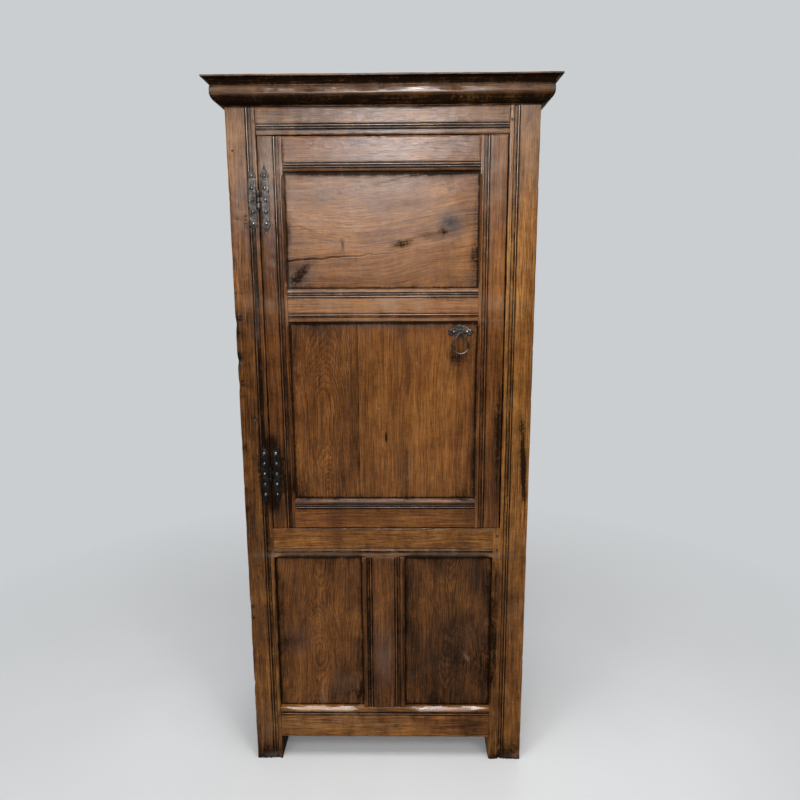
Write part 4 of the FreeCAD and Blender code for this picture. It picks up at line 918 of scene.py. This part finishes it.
member("door_top_panel", "panel", "front", "x", pitch=2.6, step=2.6, edge_dirt=0.35, shade=0.08,
       look="top_panel", cracks=[CRACK],
       grain={"pith": (-260, 25), "lean": (0.02, 0.0), "wave": 7.0, "sweep": (-60.0, 330.0, 42.0),
              "knots": [(44, 1457, 40, 22, 3), (163, 1506, 60, 26, 3)]})
member("door_lower_panel_left", "panel", "front", "z", pitch=2.6, step=3.0, edge_dirt=0.5, joint="high",
       shade=-0.05, grain={"pith": (6, 62), "lean": (0.0, 0.085), "wave": 7.0})
member("door_lower_panel_right", "panel", "front", "z", pitch=2.6, step=3.0, edge_dirt=0.5, joint="low",
       shade=0.07, cracks=[SLIT], grain={"pith": (-170, 22), "lean": (0.01, 0.0), "wave": 4.0})

# Sides, back, inside and top
for side in ("left", "right"):
    for level in ("bottom", "middle", "top"):
        member(f"{side}_side_{level}_rail", "carcass", side, "y", TENON, pitch=8.0, step=9.0,
               grain={"pith": (55, 30)})
    member(f"{side}_side_lower_panel", "panel", side, "z", pitch=8.0, step=10.0, edge_dirt=0.8, shade=-0.08,
           grain={"pith": (25, 18), "lean": (0.02, 0.07), "wave": 8.0})
    member(f"{side}_side_upper_panel", "panel", side, "z", pitch=8.0, step=10.0, edge_dirt=0.8, shade=-0.03,
           grain={"pith": (-30, 14), "lean": (-0.03, 0.08), "wave": 8.0})
    member(f"back_{side}_post", "carcass", "back", "z", pitch=8.0, step=10.0, ragged=3.0, shade=-0.12)
    for level in ("lower", "upper"):
        facing = "right" if side == "left" else "left"
        member(f"{level}_{side}_cleat", "inside", facing, "y", pitch=8.0, step=12.0, shade=-0.1)
for level in ("bottom", "top"):
    member(f"back_{level}_rail", "inside", "back", "x", TENON, pitch=9.0, step=12.0, shade=-0.1)
for place in ("left", "middle", "right"):
    member(f"back_board_{place}", "inside", "back", "z", pitch=9.0, step=14.0, shade=-0.1,
           grain={"lean": (0.01, 0.07), "wave": 7.0})
for board in ("lower_shelf", "upper_shelf", "bottom_board", "top_board"):
    member(board, "inside", "top", "x", pitch=12.0, step=14.0, shade=-0.05, grain={"lean": (0.01, 0.06)})
member("door_stop", "inside", "left", "z", pitch=8.0, step=12.0, shade=-0.1)


def arc(start, end, radius, bulge, count):
    """Points between two ends of an arc that bulges to one side of its chord."""
    start, end = np.array(start), np.array(end)
    chord = end - start
    half = np.linalg.norm(chord) / 2
    normal = np.array([chord[1], -chord[0]]) / (2 * half)
    centre = (start + end) / 2 - bulge * normal * math.sqrt(radius ** 2 - half ** 2)
    first, last = (math.atan2(*(point - centre)[::-1]) for point in (start, end))
    turn = (last - first + math.pi) % (2 * math.pi) - math.pi
    angles = first + turn * np.arange(1, count) / count
    return centre + radius * np.stack([np.cos(angles), np.sin(angles)], -1)


# The cornice's profile: overhang, height above the carcass, dirt and painted shade, rub and painted
# highlight, dust and painted sheen
CORNICE_ROWS = [(-22.0, 0.0, 0, 0, 0), (0.0, 0.0, 1, 0, 0), (2.0, 0.2, 0.8, 0, 0), (2.0, 2.8, 0.7, 0.1, 0)]
for overhang, height in arc((2.0, 3.0), (27.5, 31.0), 25.0, 1, 12):
    # the ovolo darkens towards its underside: painted shade and dirt
    underside_dirt_and_shade = 1.0 - smooth(16.0, height - 12.0)
    CORNICE_ROWS.append((overhang, height, underside_dirt_and_shade, 0.3 * smooth(10.0, height - 24), 0))
# the nose's rub and dust are painted highlight and painted sheen
CORNICE_ROWS += [(27.5, 31.0, 0.0, 0.4, 0.12), (27.6, 34.5, 0.0, 0.4, 0.16), (27.2, 38.0, 0.05, 0.4, 0.12),
                 (26.6, 40.6, 0.25, 0.2, 0), (26.0, 42.5, 0.55, 0.0, 0)]
for overhang, height in arc((26.0, 42.5), (40.0, 58.5), 22.0, -1, 7):
    CORNICE_ROWS.append((overhang, height, 0.7 + 0.4 * smooth(7.0, height - 43.0), 0.0, 0))
# the top lip is pale with dust, and with a painted highlight along its edge
CORNICE_ROWS += [(40.0, 58.4, 1.0, 0.0, 0), (42.4, 58.5, 0.9, 0.1, 0), (43.0, 59.1, 0.6, 0.2, 0.1),
                 (43.0, 61.0, 0.45, 0.2, 0.25), (42.9, 62.4, 0.2, 0.3, 0.4), (42.2, 63.0, 0.1, 0.2, 0.6),
                 (20.0, 62.9, 0.2, 0, 0.8), (-4.0, 62.8, 0.3, 0, 0.7), (-22.0, 62.9, 0.3, 0, 0.7),
                 (-22.0, 30.0, 0.3, 0, 0)]


def cornice(node, corner_low, corner_high, run, outwards):
    """A run of cornice: its ends follow the mitre, or stand square at the back."""
    seed = seed_of(node)
    rows = np.array(CORNICE_ROWS)
    share = np.concatenate([[0.0], np.linspace(0.001, 0.999, 84), [1.0]])
    overhang, level, dirt, rub_and_highlight, dust_and_sheen = (repeated(rows, column, share) for column in range(5))
    start = corner_low[0] - corner_low[1] * overhang
    end = corner_high[0] + corner_high[1] * overhang
    along = start + (end - start) * share[:, None]
    plan = np.stack([along, level], -1)
    body = np.where((overhang > 1.0) & (overhang < 42.5), 1.0, 0.0)
    worn = 0.35 * np.clip(1 + ripple(seed, plan * (0.5, 1.0), 60), 0, None) * body
    dented = np.clip(ripple(seed + 1, along[..., None], 48), 0.2, None) * rub_and_highlight * 1.8
    overhang = overhang - worn - dented
    height = CARCASS_TOP + level - 0.25 * np.clip(1 + ripple(seed + 2, plan, 90), 0, 2) * (level > 55)
    face, way = outwards
    co = np.zeros(along.shape + (3,))
    co[..., AXES[run]] = along
    co[..., 1 - AXES[run]] = face + way * overhang
    co[..., 2] = height
    from_end = np.minimum(along - start, np.where(corner_high[1] > 0, end - along, 999.0))
    # the profile darkens towards its ends
    dirt = dirt + 0.45 * np.exp(-from_end / 22.0) * body
    radial = overhang + 30 + 0.02 * along
    figure = np.stack([along + seed % GRAIN_STARTS, height - CARCASS_TOP + 40, radial], -1) * MM
    tone = 0.10 * ripple(seed + 3, plan * (0.3, 1.0), 200)
    part = {"rings": co, "grain": figure, "dirt": dirt, "rub_and_highlight": rub_and_highlight, "dust_and_sheen": dust_and_sheen,
            "shade": tone, "gold": np.zeros_like(tone), "bloom": np.zeros_like(tone)}
    return build(node + "_oak", [part], OAK["cornice"], "carcass", [node], sharp=32.0)


carcass_low = corners("back_left_post")[0]
carcass_high = corners("back_right_post")[1]
cornice("cornice_front", (carcass_low[0], 1), (carcass_high[0], 1), "x", (FRONT, -1))
cornice("cornice_left", (FRONT, 1), (carcass_high[1], 0), "y", (carcass_low[0], -1))
cornice("cornice_right", (FRONT, 1), (carcass_high[1], 0), "y", (carcass_high[0], 1))

# Ironwork
pin_low, pin_high = corners("upper_hinge_pin")
HINGE_X, HINGE_Y = ((pin_low + pin_high) / 2)[:2]
LEAF_OFFSET = 16.0
LEAF_THICK = 2.5
STRAP_HALF = 10.1
BARB_HALF = 11.0
NECK = 52.5
BARB = 59.0
KNUCKLE = 14.0
KNUCKLE_GAP = 0.3
TAB_REACH = LEAF_OFFSET - 8.5


def leaf_half_width(rise, tip):
    """Half the width of a leaf at a height from its middle: strap, neck, barbs and a drawn tip."""
    strap = STRAP_HALF - 2.6 * hump(rise - NECK, 2.4)
    shoulder = smooth(5.0, rise - NECK - 1.0)
    drawn = np.clip((rise - BARB) / (tip - BARB), 0, 1)
    spear = BARB_HALF * ((1 - drawn) ** 1.9 * 0.8 + (1 - drawn) * 0.2)
    return np.where(rise < BARB, strap + (BARB_HALF - STRAP_HALF) * shoulder, np.maximum(spear, 0.3))


def leaf(node, side, material):
    """A forged leaf with hammered face, drawn ends and its knuckles on the pin."""
    seed = seed_of(node)
    low, high = corners(node)
    middle = (low[2] + high[2]) / 2
    tip = (high[2] - low[2]) / 2
    rise = np.unique(np.concatenate([np.linspace(-tip, tip, 150), [-BARB, -NECK, NECK, BARB]]))
    half = leaf_half_width(np.abs(rise), tip)
    across = np.array([-1.0, -0.97, -0.88, -0.6, -0.3, 0.0, 0.3, 0.6, 0.88, 0.97, 1.0])
    lift = np.array([0.5, 0.85, 1.0, 1.0, 1.0, 1.0, 1.0, 1.0, 1.0, 0.85, 0.5])
    wander = 0.5 * ripple(seed + 5, rise[:, None], 34)
    x = HINGE_X + side * LEAF_OFFSET + half[:, None] * across[None, :] * (1 + 0.03 * wander[:, None])
    z = middle + np.repeat(rise[:, None], len(across), 1)
    thin = 0.45 + 0.55 * np.clip(half / 9.0, 0, 1)
    beaten = 0.28 * np.clip(1 + ripple(seed, np.stack([x, z], -1), 9), 0, 2)
    high_y = FRONT - (LEAF_THICK * lift[None, :] * thin[:, None]) + beaten * 0.9
    front_row = np.stack([x, high_y, z], -1)
    back_row = np.stack([x[:, ::-1], np.full_like(x, FRONT), z], -1)
    parts = [{"rings": np.concatenate([front_row, back_row], 1)}]
    for count in (0,) if side > 0 else (-1, 1):
        height = middle + count * (KNUCKLE + KNUCKLE_GAP)
        parts.append(knuckle(height, seed + count))
        parts.append(tab(height, side))
    return build(node + "_forged", parts, material, BODY_OF[node], [node], sharp=50.0)


def knuckle(height, seed):
    """A rolled barrel round the pin, eased at its ends."""
    turns = circle(20)
    profile = ((0.0, 2.6), (0.01, 4.3), (0.06, 4.9), (0.3, 5.0), (0.5, 4.95), (0.7, 5.0), (0.94, 4.9),
               (0.99, 4.3), (1.0, 2.6))
    rings = []
    for share, radius in profile:
        unrolled = np.stack([turns * 5, np.full_like(turns, share * 14)], -1)
        out = radius - 0.15 * np.clip(1 + ripple(seed, unrolled, 8), 0, 2)
        rings.append(np.stack([HINGE_X + out * np.cos(turns), HINGE_Y + out * np.sin(turns),
                               np.full_like(turns, height + (share - 0.5) * KNUCKLE)], -1))
    return {"rings": np.array(rings)}


def tab(height, side):
    """The strap that runs from a leaf into its knuckle."""
    half = KNUCKLE / 2 - KNUCKLE_GAP
    rings = []
    for out in np.linspace(TAB_REACH, 0.0, 7):
        x = HINGE_X + side * out
        face = FRONT - LEAF_THICK - 2.2 * (1 - out / TAB_REACH)
        rings.append([(x, FRONT - 0.02, height - half), (x, FRONT - 0.02, height + half),
                      (x, face + 0.6, height + half), (x, face, height + half - 0.8),
                      (x, face, height - half + 0.8), (x, face + 0.6, height - half)])
    return {"rings": np.array(rings)}


for hinge, metal in (("upper", GREY_IRON), ("lower", BLACK_IRON)):
    leaf(f"{hinge}_hinge_frame_leaf", -1, metal)
    leaf(f"{hinge}_hinge_door_leaf", 1, metal)


def boss(x, y, z, width, height, rise, turn):
    """A small raised leaf, berry or nail head with five lobes, that faces the front."""
    turns = circle(14)
    lobes = 1 + 0.12 * np.cos(5 * turns + turn)
    rings = []
    for share, lift in ((1.0, 0.0), (0.97, 0.35), (0.85, 0.65), (0.62, 0.88), (0.34, 0.98), (0.05, 1.0)):
        out = share * lobes
        rings.append(np.stack([x + width * out * np.cos(turns), np.full_like(turns, y - rise * lift),
                               z + height * out * np.sin(turns)], -1))
    return {"rings": np.array(rings)}


RING_WIRE = 2.2


def pull_plate():
    """A cast plate of small leaves about a bar, symmetrical to the ring."""
    low, high = corners("pull_plate")
    back = high[1]
    centre_x, centre_z = (low[0] + high[0]) / 2, corners("pull_bail")[1][2] - RING_WIRE
    base = [(0, 9, 14.5, 12.5), (14, 5, 10, 10), (24, 1, 8.6, 8.8), (0, -4, 9, 8)]
    leaves = [(0, 16.5, 4.6, 4.6), (0, 6.4, 3.6, 4.0), (7.2, 15.0, 4.0, 4.2), (7.4, 6.6, 3.8, 3.6),
              (13.4, 11.0, 4.0, 3.8), (13.6, 3.0, 3.6, 3.4), (19.4, 7.6, 3.8, 3.4), (20.4, 1.0, 3.6, 3.2),
              (26.4, 4.6, 3.4, 3.4), (28.6, -0.6, 3.2, 3.4), (24.0, -5.0, 3.4, 3.2), (4.0, 11.2, 2.8, 2.8),
              (10.6, 9.0, 2.6, 2.6), (16.6, 5.4, 2.4, 2.4), (3.6, -6.6, 2.6, 3.0), (0.0, -10.0, 2.4, 2.6)]
    parts = []
    for table, rise, uneven in ((base, 1.5, 0.0), (leaves, 3.0, 0.35)):
        for off, up, width, height in table:
            tall = rise + uneven * math.sin(off * 1.7 + up)
            for side in (1, -1) if off else (1,):
                parts.append(boss(centre_x + side * off, back, centre_z + up, width, height, tall, off + up))
    return build("pull_plate_cast", parts, PULL_IRON, "door", ["pull_plate"], sharp=60.0)


def pull_ring():
    """The pear-shaped ring, a little uneven in its thickness."""
    low, high = corners("pull_bail")
    centre_x, centre_y = (low[0] + high[0]) / 2, (low[1] + high[1]) / 2
    top = high[2] - RING_WIRE
    bow, neck, length = 20.8, 5.0, 53.8
    lean = math.asin((bow - neck) / (length - bow - neck))
    path = []
    for angle in np.linspace(math.pi / 2, lean, 10):
        path.append((neck * math.cos(angle), neck * math.sin(angle) - neck))
    for angle in np.linspace(lean, -math.pi / 2, 26):
        path.append((bow * math.cos(angle), bow * math.sin(angle) + bow - length))
    half = np.array(path)
    loop = np.vstack([half, half[-2:0:-1] * (-1, 1)])
    heading = np.roll(loop, -1, 0) - np.roll(loop, 1, 0)
    heading /= np.linalg.norm(heading, axis=1)[:, None]
    normal = np.stack([-heading[:, 1], heading[:, 0]], -1)
    turns = circle(12)
    thick = RING_WIRE * (0.94 + 0.05 * ripple(5, loop, 12))
    off = thick[:, None] * np.cos(turns)[None, :]
    rings = np.zeros((len(loop), len(turns), 3))
    rings[..., 0] = centre_x + loop[:, 0, None] + normal[:, 0, None] * off
    rings[..., 1] = centre_y + thick[:, None] * np.sin(turns)[None, :]
    rings[..., 2] = top + loop[:, 1, None] + normal[:, 1, None] * off
    part = {"rings": rings, "loop": True}
    return build("pull_ring_forged", [part], PULL_IRON, "pull", ["pull_bail"], sharp=60.0)


pull_plate()
pull_ring()
OLD_NAILS = [(-366, 1681, 2.6), (-372, 480, 2.4), (-372, 445, 2.8), (-358, 330, 1.8)]
nail_heads = [boss(x, FRONT + 0.4, z, size, size, 0.9, x) for x, z, size in OLD_NAILS]
build("old_nail_heads", nail_heads, BLACK_IRON, "carcass", [])

# Solids that are seen as they are, with a material on them
KEPT = {"carcass_pegs": PEG, "door_pegs": PEG, "carcass_nails": BLACK_IRON, "door_nails": STUD_IRON,
        "hinge_frame_nails": STUD_IRON, "upper_hinge_pin": GREY_IRON, "lower_hinge_pin": BLACK_IRON,
        "pull_eye": PULL_IRON}
for node, material in KEPT.items():
    thing = frame["nodes"][node]
    for place in thing.material_slots:
        place.link = "OBJECT"
        place.material = material


# Stage: a pale floor that fades into the backdrop, soft lamps and the photograph's camera
BACKDROP = colour(203, 206, 208)
FLOOR_REACH = 40
FLOOR_SIDES = 64


def studio_floor():
    """Pale floor that fades into the backdrop's colour away from the part."""
    g = material_graph("studio_floor")
    place = g.place()
    cloud = g.noise(place, (1.6, 1.6, 1.6), 3.0)
    tone = g.ramp(cloud, [(0.3, colour(230, 232, 233)), (0.7, colour(238, 240, 241))])
    seen = g.add("LightPath").outputs["Is Camera Ray"]
    tone = g.mix(seen, colour(160, 154, 146), tone)
    near = g.add("BsdfPrincipled", {"Base Color": tone, "Roughness": g.spread(cloud, 0, 1, 0.7, 0.85)})
    far = g.add("Emission", {"Color": BACKDROP, "Strength": 1.0})
    away = g.add("VectorMath", {0: place}, operation="LENGTH").outputs["Value"]
    share = g.times(g.spread(away, 0.45, 2.1), seen)
    return g.finish(g.add("MixShader", {0: share, 1: near.outputs[0], 2: far.outputs[0]}))


floor_mesh = bpy.data.meshes.new("studio_floor")
rim = [(FLOOR_REACH * math.cos(turn), FLOOR_REACH * math.sin(turn), 0) for turn in circle(FLOOR_SIDES)]
floor_mesh.from_pydata(rim, [], [tuple(range(FLOOR_SIDES))])
floor_mesh.materials.append(studio_floor())
floor = bpy.data.objects.new("studio_floor", floor_mesh)
bpy.context.scene.collection.objects.link(floor)


def studio():
    """Dim all-round light; the eye sees the backdrop, and a gloss sees it dimmer on the camera's side."""
    g = Graph(bpy.data.worlds.new("studio"), "OutputWorld")
    rays = g.add("LightPath").outputs
    heading = g.split(g.add("TexCoord").outputs["Generated"])
    dimmer = g.spread(heading[1], -0.2, 0.6, 0.22, 1.0)
    ambient = g.add("Background", {"Color": (0.97, 0.98, 1.0, 1.0), "Strength": 0.19})
    backdrop = g.add("Background", {"Color": BACKDROP, "Strength": 1.0})
    mirrored = g.add("Background", {"Color": BACKDROP, "Strength": dimmer})
    glossy = g.add("MixShader", {0: rays["Is Glossy Ray"], 1: ambient.outputs[0], 2: mirrored.outputs[0]})
    seen = g.math("MAXIMUM", rays["Is Camera Ray"], rays["Is Transmission Ray"])
    return g.finish(g.add("MixShader", {0: seen, 1: glossy.outputs[0], 2: backdrop.outputs[0]}))


bpy.context.scene.world = studio()


def lamp(name, place, target, size, power, tint):
    """A soft box that shines at a target; it lights the part but isn't itself seen."""
    data = bpy.data.lights.new(name, "AREA")
    data.shape = "RECTANGLE"
    data.size, data.size_y = size
    data.energy = power
    data.color = tint
    thing = bpy.data.objects.new(name, data)
    thing.location = place
    aim = Vector(target) - Vector(place)
    thing.rotation_euler = aim.to_track_quat("-Z", "Y").to_euler()
    thing.visible_camera = False
    bpy.context.scene.collection.objects.link(thing)


COOL = (0.98, 0.98, 1.0)
lamp("front", (-0.50, -4.5, 2.05), (0.0, -0.2, 1.2), (1.7, 0.65), 34.0, (1.0, 0.98, 0.97))
lamp("strip", (0.00, -4.5, 2.66), (0.0, -0.2, 1.4), (0.9, 0.75), 46.0, COOL)
lamp("high", (0.00, -4.5, 2.90), (0.0, -0.2, 1.6), (2.4, 0.30), 18.0, COOL)
lamp("key", (1.75, -2.9, 2.95), (0.0, -0.2, 1.0), (0.9, 0.8), 26.0, (1.0, 0.97, 0.93))
lamp("left_key", (-1.9, -2.7, 2.8), (0.0, -0.2, 0.9), (1.0, 0.9), 16.0, COOL)
lamp("behind", (0.6, 3.4, 3.0), (0.0, 0.2, 1.0), (2.4, 1.4), 32.0, COOL)
lamp("overhead", (0.0, -0.95, 3.1), (0.0, -0.65, 0.0), (1.7, 1.1), 36.0, (1.0, 0.99, 0.98))

SENSOR = 36.0
CAMERA = {"x": 61.5, "distance": 1694.9, "height": 1393.9, "pitch": 11.064, "yaw": 0.766, "roll": -0.285,
          "focal": 664.1 / 800}
pitch, yaw, roll = (math.radians(CAMERA[key]) for key in ("pitch", "yaw", "roll"))
ahead_flat = Vector((-math.sin(yaw), math.cos(yaw), 0))
rightwards = Vector((math.cos(yaw), math.sin(yaw), 0))
ahead = ahead_flat * math.cos(pitch) - Vector((0, 0, 1)) * math.sin(pitch)
upwards = ahead_flat * math.sin(pitch) + Vector((0, 0, 1)) * math.cos(pitch)
right_rolled = rightwards * math.cos(roll) + upwards * math.sin(roll)
up_rolled = upwards * math.cos(roll) - rightwards * math.sin(roll)
camera_data = bpy.data.cameras.new("camera")
camera_data.sensor_width = SENSOR
camera_data.lens = SENSOR * CAMERA["focal"]
camera = bpy.data.objects.new("camera", camera_data)
turned = Matrix((right_rolled, up_rolled, -ahead)).transposed().to_4x4()
turned.translation = Vector((CAMERA["x"], FRONT - CAMERA["distance"], CAMERA["height"])) * MM
camera.matrix_world = turned
bpy.context.scene.collection.objects.link(camera)
bpy.context.scene.camera = camera
bpy.context.scene.view_settings.view_transform = "Standard"
